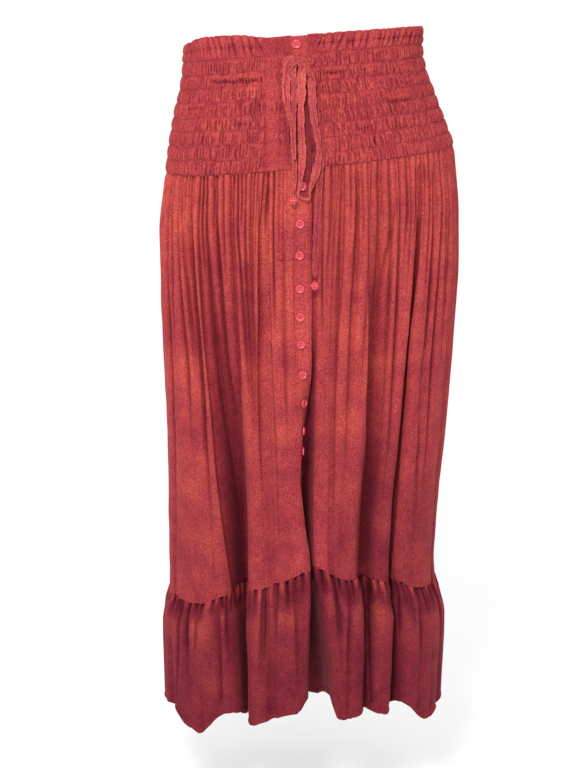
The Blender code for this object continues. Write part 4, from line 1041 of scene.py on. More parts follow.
for part, a, b in zip(PARTS, BREAK[:-1], BREAK[1:]):
    pts = body_rows[:, a : b + 1]
    inset = body_inset[:, a : b + 1]
    # painted shade in the pleat valleys, the short crease and the gathered cloth's deeper recesses, stronger on the
    # wearer's right
    painted_fold_shade_weight = 1.50 - 0.45 * ease((pts[..., 0] + 0.01) / 0.05) * (pts[..., 1] < 0)
    painted_fold_shade = np.minimum(inset, 14) * 0.13 + np.maximum(inset - 14, 0) * 0.22 - np.minimum(field[:, a : b + 1] / MM + 0.8, 0) * painted_fold_shade_weight
    painted_fold_shade = painted_fold_shade - 2.4 * np.minimum(dent[:, a : b + 1], 0)
    painted_recess_shade, slot_shade_mask = recess(pts), slot(pts)
    painted_lap_shade = recess(pts, PAINTED_LAP_SHADE) if part == "front_left" else 0.0
    painted_fold_shade = np.minimum(painted_fold_shade * (1 - slot_shade_mask), 5.6)
    # painted shade: the cloth is darkened towards the foot, more on the +X side
    low = ease((-pts[..., 2] - 0.400) / 0.300)
    shade = low * (0.32 + 0.20 * ease((pts[..., 0] + 0.02) / 0.08)) + gap_shade(pts)
    # painted light on the upper panels; painted shade as wine tone and darkening in the recesses, the gap beside the
    # band and under its lap; painted shade in the tie's gap and behind the tie
    obj = grid_mesh("panel_" + part + "_cloth", pts, tint=tint_of(pts, painted_fold_shade, extra=0.12 * (1 - low) + (0.20 + 0.10 * ease((-0.03 - pts[..., 0]) / 0.03) * (pts[..., 1] < 0)) * ease((pts[..., 2] + 0.36) / 0.14) - 0.38 * painted_recess_shade - 0.15 * slot_shade_mask - 0.85 * painted_lap_shade, shade=np.clip(shade * (1 - slot_shade_mask) + 0.20 * painted_recess_shade + 0.06 * (slot_shade_mask - painted_lap_shade), 0, 1)))
    dress(obj, ["panel_" + part], CLOTH)

# ------------------------------------------------------------------------------------------------
# the flounce
# ------------------------------------------------------------------------------------------------
HEM_TURN = 11.0 * MM


# folds of the flounce traced on the front, as above
FLOUNCE_CREASES = (
    (((-175.3, -754.2), (-177.5, -825.4), (-182.0, -910.2)), (4.0, 4.5, 3.0), 1.8, 3.0, 0.15),
    (((-150.0, -757.0), (-152.0, -800.0), (-153.0, -830.0)), (3.0, 3.0, 0.5), 1.8, 3.2, 0.15),
    (((-119.3, -758.7), (-117.2, -827.8), (-116.6, -896.6)), (3.5, 5.5, 6.0), 7.0, 2.4, 0.10),
    (((-59.6, -728.7), (-61.0, -761.8), (-62.5, -800.9), (-64.0, -850.0)), (5.0, 4.5, 3.5, 1.0), 2.0, 4.0, 0.15),
    (((-42.1, -722.2), (-40.8, -766.5), (-42.2, -807.3)), (5.5, 4.5, 1.0), 3.5, 1.8, 0.15),
    (((-19.3, -713.1), (-15.3, -763.1), (-12.4, -866.0)), (3.0, 3.5, 2.5), 2.4, 3.2, 0.15),
    (((57.2, -724.3), (55.1, -808.3), (54.6, -894.5)), (4.0, 3.5, 3.0), 2.4, 4.0, 0.15),
    (((81.5, -724.8), (85.0, -795.8), (87.7, -894.2)), (6.0, 6.0, 5.0), 2.0, 4.5, 0.15),
    (((122.7, -732.2), (125.9, -771.5), (127.8, -801.1)), (5.0, 4.0, 1.5), 2.4, 3.0, 0.15),
    (((152.4, -738.7), (154.4, -791.6), (157.1, -848.8)), (4.0, 4.0, 1.5), 2.6, 4.0, 0.15),
)


def gather(k, t, r):
    """A short fan of cloth under the seam; a few run on down."""
    life = 0.30 + 0.40 * r[0] if k % 5 == 1 else 0.10 + 0.15 * r[0]
    start = ease((t + 0.012) / 0.024)
    gone = 1 - ease((t - life * 0.30) / (life * 0.9))
    depth = (3.9 + 4.4 * r[1]) * MM * start * gone
    half = (1.9 + 1.3 * r[2]) * MM * (1 + 1.9 * ease(t / (life * 1.1)))
    drift = (r[3] - 0.5) * 26 * MM * t + 1.2 * MM * wave(t * 4, 50 + k * 0.61) * ease(t / 0.1)
    return depth, half, drift


fl_t = np.concatenate([np.linspace(0, 0.10, 12), 0.10 + 0.86 * np.linspace(0, 1, 38)[1:], [0.968, 0.975, 0.982, 0.99, 1.0]])
fl_rows, fl_inset, _ = section_rows(3.0 + fl_t, ALL_U)
fl_run = run_length(fl_rows)
fl_field = furrows(fl_run, fl_run[0], fl_t, gathers, 17, gather, 1.2)
fl_made = crease_field(fl_rows, fl_run, FLOUNCE_CREASES)
fl_field = fl_field * np.exp(-np.abs(fl_made) / (8 * MM)) + fl_made
edge = ease((fl_run[0] - 2 * MM) / (12 * MM)) * ease((fl_run[0, -1] - fl_run[0]) / (8 * MM))
fl_normals = outward(fl_rows)
swell = 2.9 * MM * ease(fl_t / 0.09) - 1.0 * MM * ease((fl_t - 0.2) / 0.7)
# the turned hem is a soft roll with its row of stitches above it
hem_roll = 0.8 * MM * np.exp(-(((fl_t - 0.985) / 0.012) ** 2)) - 0.8 * MM * np.exp(-(((fl_t - 0.957) / 0.008) ** 2))
swell = swell + hem_roll
# both cloths meet along the seam
carry = ((field[-1] * calm + foot[-1] - 0.5 * MM)[None, :]) * (1 - ease(fl_t / 0.07))[:, None]
fl_rows = fl_rows + fl_normals * ((fl_field + swell[:, None]) * edge[None, :] + carry)[..., None]
slow = noise(fl_rows, (0.045, 0.045, 0.25), 2.2) * 3.0 * MM
fl_rows = fl_rows + fl_normals * (slow * ease(fl_t / 0.5)[:, None] * edge[None, :])[..., None]
fl_rows[..., 2] += seam_line[None, :] * np.exp(-(fl_t / 0.05))[:, None]
# here and there a gather's fold stands up in a small point over the seam
rng = np.random.default_rng(23)
for at in 0.5 * (gathers[1:] + gathers[:-1]):
    tall = rng.random()
    if tall < 0.45:
        continue
    x = np.abs(SEAM_RUN - at) / (3.4 * MM)
    peak = np.clip(1 - x, 0, 1)[None, :] * np.exp(-(fl_t / 0.045))[:, None]
    fl_rows[..., 2] += peak * (2.0 + 6.5 * (tall - 0.45)) * MM
    fl_rows += fl_normals * (peak * 3.0 * MM)[..., None]

# the hem hangs in uneven points: across (mm), how much higher than the even hem (mm)
HEM_DIPS = (
    (-192.0, 9.0), (-182.0, 6.0), (-172.0, 0.0), (-160.0, -2.0), (-150.0, -11.0), (-142.0, -13.0), (-133.0, -8.0),
    (-124.0, 2.0), (-113.0, 13.0), (-101.0, 19.0), (-91.0, 18.0), (-83.0, 4.0), (-72.0, 2.0), (-52.0, -3.0),
    (-34.0, 0.0), (-14.0, 1.0), (-8.0, 6.0), (-3.0, 15.0), (4.0, 17.0), (7.0, -2.0), (15.0, 2.0), (24.0, 16.0),
    (31.0, 26.0), (36.0, 14.0), (41.0, 4.0), (48.0, 1.0),
    (80.0, 5.0), (88.0, 6.0), (100.0, 2.0), (112.0, -2.0), (122.0, 8.0), (131.0, 12.0), (144.0, 9.0),
    (156.0, 4.0), (164.0, -1.0), (174.0, -4.0), (190.0, 7.0),
)


def hem_dip(points, least=-999.0):
    """Uneven rise of the hem; the back wanders as the front does."""
    table_x = np.array(HEM_DIPS)
    front = np.interp(np.maximum(points[..., 0] / MM, least), table_x[:, 0], table_x[:, 1])
    back = 7.0 * noise(points, (0.030, 0.060, 9.0), 4.4) + 5.0
    t = ease((points[..., 1] / MM + 30) / 60)
    return (front * (1 - t) + back * t) * MM


# at the sides and the back the top edge lies well behind the foot of the panels
fl_rows = fl_rows - fl_normals * (2.2 * MM * np.exp(-fl_t / 0.012)[:, None] * ease((fl_rows[..., 1] + 0.090) / 0.040))[..., None]
under_flap = np.where(np.arange(len(ALL_U)) <= BREAK[1], 7.0, -999.0)
fl_rows[..., 2] += hem_dip(fl_rows[-1], under_flap)[None, :] * (ease(fl_t) ** 1.3)[:, None]


def band_line(drop, steps=12, inset=0.0):
    """The button band's section: from its stitched edge along the body, turning inward lower down."""
    start = opening_at(drop, 1)
    turn = math.radians(opening_at(drop, 2))
    p, n0, t0 = ring(drop, start)
    p = p - n0 * inset
    pts = [p.copy()]
    for k in range(steps):
        v = (k + 0.5) / steps
        a = turn * float(ease(v * 3.2)) + math.radians(3.0) * v
        p = p + (math.cos(a) * t0 - math.sin(a) * n0) * BAND_WIDTH / steps
        pts.append(p.copy())
    return np.array(pts)


# the right flounce's front edge turns in with the band above it
edge_rows = []
for t in fl_t:
    line = band_line(3.0 + t, 24)
    z = level(3.0 + t, line[:, 0], line[:, 1], opening_at(3.0, 1), opening_at(4.0, 1))
    edge_rows.append(np.column_stack([line, np.broadcast_to(z, len(line))])[1:])
edge_rows = np.array(edge_rows)
edge_rows[..., 2] += hem_dip(edge_rows[-1])[None, :] * (ease(fl_t) ** 1.3)[:, None]


def with_hem(rows):
    """Turn the hem up on the inside."""
    last = rows[-1]
    n = outward(last)
    down = np.array([0, 0, 1.0])
    out = [rows]
    for inn, up in ((0.35, -0.45), (0.9, -0.45), (1.25, 0.1), (1.3, 2.0), (1.3, 6.0), (1.2, HEM_TURN / MM)):
        out.append((last - n * inn * MM + down * up * MM)[None])
    return np.concatenate(out)


for part, a, b in zip(PARTS, BREAK[:-1], BREAK[1:]):
    pts = fl_rows[:, a : b + 1]
    inset = np.where(slot(pts) > 0.5, 0.0, fl_inset[:, a : b + 1]) if part != "back" else fl_inset[:, a : b + 1]
    # painted shade in the valleys of the gathers and the gathered cloth's recesses
    painted_fold_shade = np.minimum(inset, 14) * 0.13 + np.minimum(np.maximum(inset - 14, 0) * 0.16, 2.2) - np.minimum(fl_field[:, a : b + 1] / MM + 1.0, 0) * 1.25
    if part == "front_right":
        pts = np.concatenate([pts, edge_rows], axis=1)
        painted_fold_shade = np.concatenate([painted_fold_shade, np.repeat(painted_fold_shade[:, -1:], edge_rows.shape[1], axis=1)], axis=1)
    full = with_hem(pts)
    painted_fold_shade = np.concatenate([painted_fold_shade] + [painted_fold_shade[-1:]] * 6)
    # painted highlight on the crests of the gathers near the seam
    high = np.clip(fl_field[:, a : b + 1] / MM + 1.7, 0, 1.7) * np.exp(-fl_t / 0.24)[:, None]
    if part == "front_right":
        high = np.concatenate([high, np.zeros(edge_rows.shape[:2])], axis=1)
    painted_crest_light = 0.52 * np.concatenate([high] + [high[-1:]] * 6)
    # the deepest recess, on the right, is in its own shadow already
    deep = fl_inset[:, a : b + 1]
    if part == "front_right":
        deep = np.concatenate([deep, np.zeros(edge_rows.shape[:2])], axis=1)
    deep = ease((np.concatenate([deep] + [deep[-1:]] * 6) - 9) / 8) * (full[..., 1] < 0) * (full[..., 0] < -0.05)
    # painted shade: the flounce under the band's lap is tinted towards wine
    painted_under_lap_shade = ease((full[..., 0] / MM + 12) / 6) * ease((30 - full[..., 0] / MM) / 10) * (full[..., 1] < 0) * (part == "front_left")
    # painted shade over the whole flounce, less on the lit crests near the seam and in the deepest recess; the tone a
    # little towards wine
    obj = grid_mesh("flounce_" + part + "_cloth", full, tint=tint_of(full, painted_fold_shade, extra=-0.20 + painted_crest_light * (1 - painted_under_lap_shade) - 0.45 * painted_under_lap_shade, shade=(0.88 - 0.80 * np.clip(painted_crest_light, 0, 1)) * (1 - 0.85 * deep)))
    dress(obj, ["flounce_" + part], CLOTH)

# ------------------------------------------------------------------------------------------------
# casing and shirred yoke
# ------------------------------------------------------------------------------------------------
def left_start(drop):
    x = band_line(drop)[-1][0]
    a = girth_sizes(drop)[0] * (1 + FULLNESS)
    return math.degrees(math.asin((x + 0.5 * MM - girth_sizes(drop)[3]) / a))


def shirred(points):
    """1 over the shirring, near 0 where the cloth lies smooth beside the buttons."""
    x = points[..., 0] / MM
    smooth = ease((x + 57.0) / 4.0) * ease((-0.5 - x) / 5.0) * (points[..., 1] < 0)
    return 1 - 0.93 * smooth


def narrow(points, drops):
    """The yoke's sides lie a little differently from the even body."""
    x = points[..., 0] / MM
    d = np.asarray(drops)
    left = np.interp(d, (0.0, 1.0, 1.3, 1.8, 2.0), (1.0, 1.5, 2.2, 2.2, 0.0))[:, None]
    right = np.interp(d, (0.0, 0.5, 1.0, 1.3, 1.6, 1.8, 2.0), (2.6, 3.2, 4.4, 6.4, 6.4, 4.0, 0.0))[:, None]
    shift = -left * ease((-x - 60) / 80) - right * ease((x - 40) / 110)
    out = points.copy()
    out[..., 0] += shift * MM
    return out


def pucker_rows(drops, part, cols):
    lo = [left_start(d) if part == "front_left" else (88.2 if part == "back" else 270.0) for d in drops]
    hi = [90.0 if part == "front_left" else (271.8 if part == "back" else 360.0 + opening_at(d, 1)) for d in drops]
    rows, norm, degs = [], [], []
    for d, a, b in zip(drops, lo, hi):
        deg = np.linspace(a, b, cols)
        p, n, _ = ring(d, deg)
        z = level(d, p[:, 0], p[:, 1])
        rows.append(np.column_stack([p, z]))
        norm.append(np.column_stack([n, np.zeros(cols)]))
        degs.append(deg)
    return np.array(rows), np.array(norm), np.array(degs)


STEPS = 10
yoke_drops = np.concatenate([1.0 + (k + np.linspace(0, 1, STEPS + 1)[:-1]) / YOKE_ROWS for k in range(YOKE_ROWS)] + [[2.0]])
# deeper sideways tucks: from and to (across, mm), height at the left end (mm), depth (mm)
TUCKS = ((-125.0, -60.0, -53.5, 3.0), (-158.0, -128.0, -88.0, 1.6), (-92.0, -66.0, -104.0, 1.4), (16.0, 48.0, -40.5, 2.6), (92.0, 130.0, -76.0, 1.6), (58.0, 84.0, -108.0, 1.3), (120.0, 146.0, -46.0, 1.4))
for part, cols in (("front_left", 580), ("back", 350), ("front_right", 580)):
    pts, nrm, deg = pucker_rows(yoke_drops, part, cols)
    pts = narrow(pts, yoke_drops)
    smooth = shirred(pts)
    s = run_length(pts[len(pts) // 2][None])[0]
    x_mm, z_mm = pts[..., 0] / MM, pts[..., 2] / MM
    height = np.zeros(pts.shape[:2])
    rng = np.random.default_rng({"front_left": 5, "back": 6, "front_right": 7}[part])
    bend = np.zeros(pts.shape[:2])
    jag = np.zeros(cols)
    phase = np.linspace(0, 1, STEPS + 1)
    for band in range(YOKE_ROWS):
        a, b = band * STEPS, (band + 1) * STEPS + 1
        puff = np.sin(np.pi * phase) ** 0.8
        at = rng.uniform(0, 4) * MM
        block = np.zeros((STEPS + 1, cols))
        tilt = noise(np.stack([s, np.full_like(s, band * 4.7 + 2), s * 0], -1), (0.026, 1, 1))
        strong = 1 + 0.15 * noise(np.stack([s, np.full_like(s, band * 2.9 + 5), s * 0], -1), (0.016, 1, 1))
        while at < s[-1]:
            depth = rng.uniform(2.2, 3.5) * MM * float(np.interp(at, s, strong))
            half = rng.uniform(0.75, 1.0) * MM
            lean = (2.8 * float(np.interp(at, s, tilt)) + rng.normal(0, 0.7)) * MM
            bow = rng.normal(0, 0.9) * MM
            top, low = rng.uniform(-0.12, 0.26), rng.uniform(0.74, 1.12)
            along = ease((phase - top) / 0.20) * (1 - ease((phase - low + 0.10) / 0.20))
            if rng.random() < 0.12:
                along = along * (1 - ease((phase - rng.uniform(0.3, 0.6)) / 0.2))
            x = (s[None, :] - (at + lean * (phase - 0.5) + bow * (1 - 4 * (phase - 0.5) ** 2))[:, None]) / half
            block -= depth * along[:, None] * np.exp(-np.abs(x) ** 1.3)
            # small teeth where the elastic holds the fold
            block[-1] -= 0.7 * MM * np.exp(-(((s - at) / (1.2 * MM)) ** 2))
            block[0] -= 0.7 * MM * np.exp(-(((s - at) / (1.2 * MM)) ** 2))
            if band == YOKE_ROWS - 1:
                jag += (1.2 + 1.6 * rng.random()) * MM * np.exp(-(((s - at - 0.5 * lean) / (1.3 * MM)) ** 2))
            at += rng.uniform(2.9, 4.5) * MM
        size = (PUFF - 0.8 * MM) * (1 + 0.35 * noise(np.stack([s, np.full_like(s, band * 7.1), s * 0], -1), (0.014, 1, 1)))
        pinch = -0.35 * MM * (np.exp(-((phase / 0.08) ** 2)) + np.exp(-(((1 - phase) / 0.08) ** 2)))
        height[a:b] = block + size[None, :] * puff[:, None] + pinch[:, None] + 0.7 * MM
    # uneven rows: the elastic wanders up and down a little along each row
    for line in range(1, YOKE_ROWS):
        centre = line * STEPS
        sway = 1.5 * MM * noise(np.stack([s, np.full_like(s, line * 3.3), s * 0], -1), (0.012, 1, 1))
        near = np.exp(-(((np.arange(len(yoke_drops)) - centre) / (0.5 * STEPS)) ** 2))
        bend += near[:, None] * sway[None, :]
    bend += np.exp(-((len(yoke_drops) - 1 - np.arange(len(yoke_drops))) / 1.6))[:, None] * (jag - 1.2 * MM)[None, :]
    tucked = np.zeros_like(height)
    if part != "back":
        for x0, x1, z0, deep in TUCKS:
            along = ease((x_mm - x0) / 8) * ease((x1 - x_mm) / 8)
            line = z0 + 0.06 * (x_mm - x0) + 1.2 * np.sin(x_mm * 0.35) * 0.5
            tucked -= deep * along * np.exp(-(((z_mm - line) / 1.7) ** 2))
            tucked += 0.75 * deep * along * np.exp(-(((z_mm - line - 5.0) / 3.0) ** 2))
    height += tucked * MM
    smooth = 1 - (1 - smooth) * (0.62 + 0.38 * ease((-z_mm - 42) / 26))
    height = height * np.maximum(smooth, np.where(x_mm > -43.0, 0.48, 0.16)) + 0.20 * MM * (1 - smooth)
    if part == "front_right":
        # the plain ribbed strip beside the buttons, with a dark furrow along each side
        uneven = ease((-z_mm - 48) / 26) * (0.6 + 0.4 * noise(np.stack([x_mm * 0, x_mm * 0, pts[..., 2]], -1), (1, 1, 0.009)))
        height -= 1.5 * MM * uneven * (np.exp(-((np.abs(x_mm + 54.6) / 1.2) ** 1.4)) + 1.7 * np.exp(-((np.abs(x_mm + 35.2) / 1.0) ** 1.4)))
        height += 0.35 * MM * ease((x_mm + 54) / 5) * ease((-36 - x_mm) / 5)
        height += 0.26 * MM * np.sin(x_mm * 2.1 + 0.8 * np.sin(z_mm * 0.15)) * ease((x_mm + 54) / 3) * ease((-25 - x_mm) / 3)
        height += 0.30 * MM * np.sin(z_mm * 0.466) * ease((x_mm + 54) / 3) * ease((-25 - x_mm) / 3)
    if part == "back":
        # the side seams: the back piece lies under the front ones
        side_seam = ease((np.minimum(s, s[-1] - s) - 2.0 * MM) / (4.5 * MM))[None, :]
        height = height * (side_seam * 0.6 + 0.4) - 1.5 * MM * (1 - side_seam)
    height[:2] = 0.5 * MM + (height[:2] - 0.5 * MM) * np.array([[0.0], [0.5]])
    pts = pts + nrm * height[..., None]
    pts[..., 2] += bend * smooth
    pts = np.concatenate([pts, (pts[-1] - nrm[-1] * (height[-1] + 3.4 * MM)[:, None] + np.array([0, 0, -0.6 * MM]))[None]])
    height = np.concatenate([height, height[-1:]])
    last = np.minimum((len(height) - 1 - np.arange(len(height))) / 3.0, 1.0)[:, None]
    x_mm = pts[..., 0] / MM
    strip = ease((x_mm + 54) / 2) * ease((-42.5 - x_mm) / 2) * (pts[..., 1] < 0)
    # painted shade in the valleys of the puckers, less in the last rows; painted highlight on their ridges; the plain
    # strip a little lighter; painted shade in the tie's gap and behind the tie, and a little over the whole yoke
    tint = tint_of(pts, np.clip((1.0 * MM - height) / MM * 2.15, 0, 7) * (0.45 + 0.55 * last), extra=0.11 * strip * ease((-pts[..., 2] / MM - 50) / 30) + 0.26 * np.clip((height - 1.1 * MM) / MM, 0, 1), shade=np.clip(gap_shade(pts) + 0.06, 0, 1))
    obj = grid_mesh("yoke_" + part + "_cloth", pts, tint=tint)
    dress(obj, ["yoke_" + part], CLOTH)

# across (mm), how much higher the waist edge lies there than the even edge (mm)
RIM_LIFT = ((-162.0, -1.5), (-156.0, -0.5), (-150.0, 2.0), (-143.0, 4.6), (-130.0, 6.4), (-104.0, 6.2), (-79.0, 4.6), (-66.0, 1.6), (-52.0, -0.8), (-36.0, -0.6), (-20.0, 0.0), (180.0, 0.0))
casing_drops = np.linspace(0.0, 1.0, 23)
for part, cols in (("front_left", 440), ("back", 300), ("front_right", 440)):
    pts, nrm, deg = pucker_rows(casing_drops, part, cols)
    pts = narrow(pts, casing_drops)
    x_mm = pts[..., 0] / MM
    plain = ease((x_mm + 60.0) / 5.0) * ease((13.0 - x_mm) / 5.0) * (pts[..., 1] < 0)
    smooth = 1 - 0.90 * plain
    s = run_length(pts[0][None])[0]
    rng = np.random.default_rng({"front_left": 25, "back": 26, "front_right": 27}[part])
    d = casing_drops
    roll = np.sin(np.pi * np.clip(d / 0.5, 0, 1)) ** 0.7
    foot_roll = np.sin(np.pi * np.clip((d - 0.5) / 0.5, 0, 1)) ** 0.8
    block = np.zeros((len(d), cols))
    rim = np.zeros(cols)
    at = rng.uniform(0, 6) * MM
    side = 1.0 if part == "front_right" else -1.0
    while at < s[-1]:
        main = rng.random() < 0.6
        depth = (rng.uniform(2.8, 4.8) if main else rng.uniform(1.2, 2.4)) * MM
        half = (rng.uniform(1.15, 1.8) if main else rng.uniform(0.7, 1.1)) * MM
        lean = side * (rng.uniform(4.0, 12.0) if main else rng.uniform(0.0, 8.0)) * MM
        bow = rng.uniform(-2.2, 1.0) * side * MM
        up = rng.uniform(0.30, 1.0)
        along = np.interp(d, (0.0, 0.22, 0.5, 0.75, 1.0), (0.35 + 0.35 * up, 0.5 + 0.5 * up, 1.0, rng.uniform(0.75, 1.0), rng.uniform(0.2, 0.6)))
        shift = lean * (d - 0.5) + bow * (1 - 4 * (d - 0.5) ** 2)
        x = (s[None, :] - (at + shift)[:, None]) / half
        block -= depth * along[:, None] * np.exp(-np.abs(x) ** 1.3)
        if main:
            block -= 0.5 * MM * np.exp(-(((d - 0.5) / 0.06) ** 2))[:, None] * np.exp(-(((s - at) / (1.2 * MM)) ** 2))[None, :]
            rim -= 1.3 * MM * up * np.exp(-np.abs((s - at + 0.5 * lean) / (1.6 * MM)) ** 1.3)
        at += (rng.uniform(4.5, 9.0) if main else rng.uniform(2.6, 5.0)) * MM
    stitch = -0.20 * MM * np.exp(-(((d - 0.5) / 0.05) ** 2)) - 0.1 * MM * np.exp(-(((d - 1.0) / 0.06) ** 2))
    lumps = 0.9 * MM * noise(np.stack([np.broadcast_to(s, block.shape), np.broadcast_to(d[:, None] * 0.01, block.shape), 0 * block], -1), (0.007, 0.006, 1))
    height = block + (1.3 * MM * roll + 1.0 * MM * foot_roll + stitch)[:, None] + lumps + 1.5 * MM
    height *= smooth
    if part == "back":
        side_seam = ease((np.minimum(s, s[-1] - s) - 2.0 * MM) / (4.5 * MM))[None, :]
        height = height * side_seam - 1.5 * MM * (1 - side_seam)
    # the plain strip beside the buttons ends in an upright row of stitches
    if part == "front_right":
        height -= 0.8 * MM * np.exp(-(((x_mm + 39.5) / 0.7) ** 2))
    height = height + (0.5 * MM - height) * ease((d - 0.93) / 0.07)[:, None]
    outer = pts + nrm * height[..., None]
    table_x = np.array(RIM_LIFT)
    lift = np.interp(x_mm, table_x[:, 0], table_x[:, 1]) * MM * (pts[..., 1] < 0.02)
    outer[..., 2] += lift * (1 - ease(d / 1.0))[:, None]
    outer[..., 2] += (rim * smooth[0])[None, :] * (1 - ease(d / 0.3))[:, None]
    # the top edge rolls over to the inside, as cloth folded round elastic
    top, n = outer[0], nrm[0]
    fold = []
    for inn, up in ((0.5, 0.9), (1.4, 1.3), (2.4, 1.0), (3.1, 0.0), (3.3, -2.0), (3.2, -10.0), (3.0, -20.0)):
        fold.append((top - n * inn * MM + np.array([0, 0, up * MM]))[None])
    turned = (outer[-1] - nrm[-1] * 2.6 * MM + np.array([0, 0, -0.5 * MM]))[None]
    full = np.concatenate(fold[::-1] + [outer, turned])
    height = np.concatenate([height, height[-1:]])
    # painted shade in the valleys of the puckers and painted highlight on their ridges; a little painted shade over the
    # whole casing
    deep = np.concatenate([np.zeros((7, cols)), np.clip((1.5 * MM - height) / MM * 2.2, 0, 7)])
    obj = grid_mesh("casing_" + part + "_cloth", full, tint=tint_of(full, deep, extra=np.concatenate([np.zeros((7, cols)), 0.22 * np.clip((height - 1.8 * MM) / MM, 0, 1)]), shade=0.04))
    dress(obj, ["casing_" + part], CLOTH)

# ------------------------------------------------------------------------------------------------
# the button bands
# ------------------------------------------------------------------------------------------------
def band_shell(drops, line_of, thick, lift):
    """A folded band: outer face, turned edges and inner face in one closed strip."""
    rows = []
    for d in drops:
        line = line_of(d)
        n = outward(line)
        v = np.linspace(0, 1, len(line))[:, None]
        z = line[:, 2:3] / MM
        rows_of_stitches = np.exp(-(((v - 0.09) / 0.035) ** 2)) + np.exp(-(((v - 0.91) / 0.035) ** 2))
        stitched = -0.42 * MM * rows_of_stitches * (0.7 + 0.3 * np.sin(z * 2.3))
        pulls = 0.28 * MM * np.sin(z * 0.30 + 2.2 * np.sin(z * 0.061) + 2.0 * v) * (1 - (2 * v - 1) ** 2)
        face = line + n * (lift + (stitched + pulls if lift > 0 else 0.0))
        back = line + n * (lift - thick)
        t0 = face[1] - face[0]
        t0 /= np.linalg.norm(t0)
        t1 = face[-1] - face[-2]
        t1 /= np.linalg.norm(t1)
        first = 0.5 * (face[0] + back[0]) - t0 * thick * 0.5
        last = 0.5 * (face[-1] + back[-1]) + t1 * thick * 0.5
        rows.append(np.vstack([face, last, back[::-1], first]))
    return np.array(rows)


def top_line(d):
    line = band_line(d, 24)
    z = level(d, line[:, 0], line[:, 1], opening_at(3.0, 1), opening_at(3.0, 1))
    return np.column_stack([line, z])


def under_line(d, cols=16):
    if d < 2.0:
        a0, i0, a1, i1 = opening_at(d, 1) + 0.35, 0.7, left_start(d), 0.8
    else:
        a0, i0, a1, i1 = (opening_at(d, c) for c in (3, 4, 5, 6))
    w = np.linspace(0, 1, cols)
    p, n, _ = ring(d, a0 + (a1 - a0) * w)
    p = p - n * ((i0 + (i1 - i0) * w) * MM)[:, None]
    z = level(d, p[:, 0], p[:, 1], opening_at(3.0, 3), opening_at(3.0, 3))
    return np.column_stack([p, z])


band_drops = np.concatenate([np.linspace(0, 2, 60)[:-1], np.linspace(2, 3, 150)])
for name, rows, slot_name in (
    ("placket_top", band_shell(band_drops, top_line, 1.1 * MM, BAND_PROUD), "crepe_band"),
    ("placket_under", band_shell(band_drops, under_line, 0.9 * MM, 0.0), "crepe_band"),
):
    seam = np.zeros(rows.shape[:2])
    if name == "placket_top":
        seam[:, 2:4] = 3.4
        seam[:, 21:23] = 3.4
        seam[:, :1] = 3.0
    # painted light on the upper bands; painted shade towards the foot of the top band, on the under band in the slot
    # below the lap (tinted towards wine), in the tie's gap and behind the tie; the band's rows of stitches darkened
    low = ease((-rows[..., 2] - 0.400) / 0.300)
    top_band = 1.0 if name == "placket_top" else 0.0
    obj = grid_mesh(name + "_cloth", rows, wrap=True, tint=tint_of(rows, seam, extra=0.12 * (1 - low) - 0.7 * ease((-0.34 - rows[..., 2]) / 0.06) * (1 - top_band), shade=np.clip(0.30 * low * top_band + gap_shade(rows), 0, 1)))
    dress(obj, [name], BAND)

# ------------------------------------------------------------------------------------------------
# buttons
# ------------------------------------------------------------------------------------------------
def button_mesh():
    """A moulded four-hole button, its face up +Z, drawn with 40 steps round and with holes by boolean."""
    r, t = 5.6 * MM, 2.2 * MM
    profile = ((0.0, 0.0), (0.80, 0.0), (0.93, 0.12), (1.0, 0.42), (0.985, 0.72), (0.93, 0.93), (0.86, 1.0), (0.78, 0.98), (0.71, 0.80), (0.64, 0.58), (0.52, 0.50), (0.0, 0.48))
    seg = 40
    verts, faces = [(0, 0, 0)], []
    for rad, h in profile[1:-1]:
        for k in range(seg):
            a = 2 * math.pi * k / seg
            verts.append((r * rad * math.cos(a), r * rad * math.sin(a), t * h))
    verts.append((0, 0, t * profile[-1][1]))
    last = len(verts) - 1
    rings = len(profile) - 2
    for k in range(seg):
        n = (k + 1) % seg
        faces.append((0, 1 + n, 1 + k))
        for j in range(rings - 1):
            a, b = 1 + j * seg, 1 + (j + 1) * seg
            faces.append((a + k, a + n, b + n, b + k))
        a = 1 + (rings - 1) * seg
        faces.append((a + k, a + n, last))
    mesh = bpy.data.meshes.new("button_blank")
    mesh.from_pydata(verts, [], faces)
    body = bpy.data.objects.new("button_blank", mesh)
    bpy.context.scene.collection.objects.link(body)
    cutters = []
    for sx in (-1, 1):
        for sy in (-1, 1):
            bpy.ops.mesh.primitive_cylinder_add(vertices=14, radius=0.78 * MM, depth=8 * MM, location=(sx * 1.3 * MM, sy * 1.3 * MM, 0))
            c = bpy.context.object
            cutters.append(c)
            mod = body.modifiers.new("hole", "BOOLEAN")
            mod.operation, mod.solver, mod.object = "DIFFERENCE", "EXACT", c
    bpy.context.view_layer.update()
    made = bpy.data.meshes.new_from_object(body.evaluated_get(bpy.context.evaluated_depsgraph_get()))
    for o in [body] + cutters:
        bpy.data.objects.remove(o, do_unlink=True)
    return made


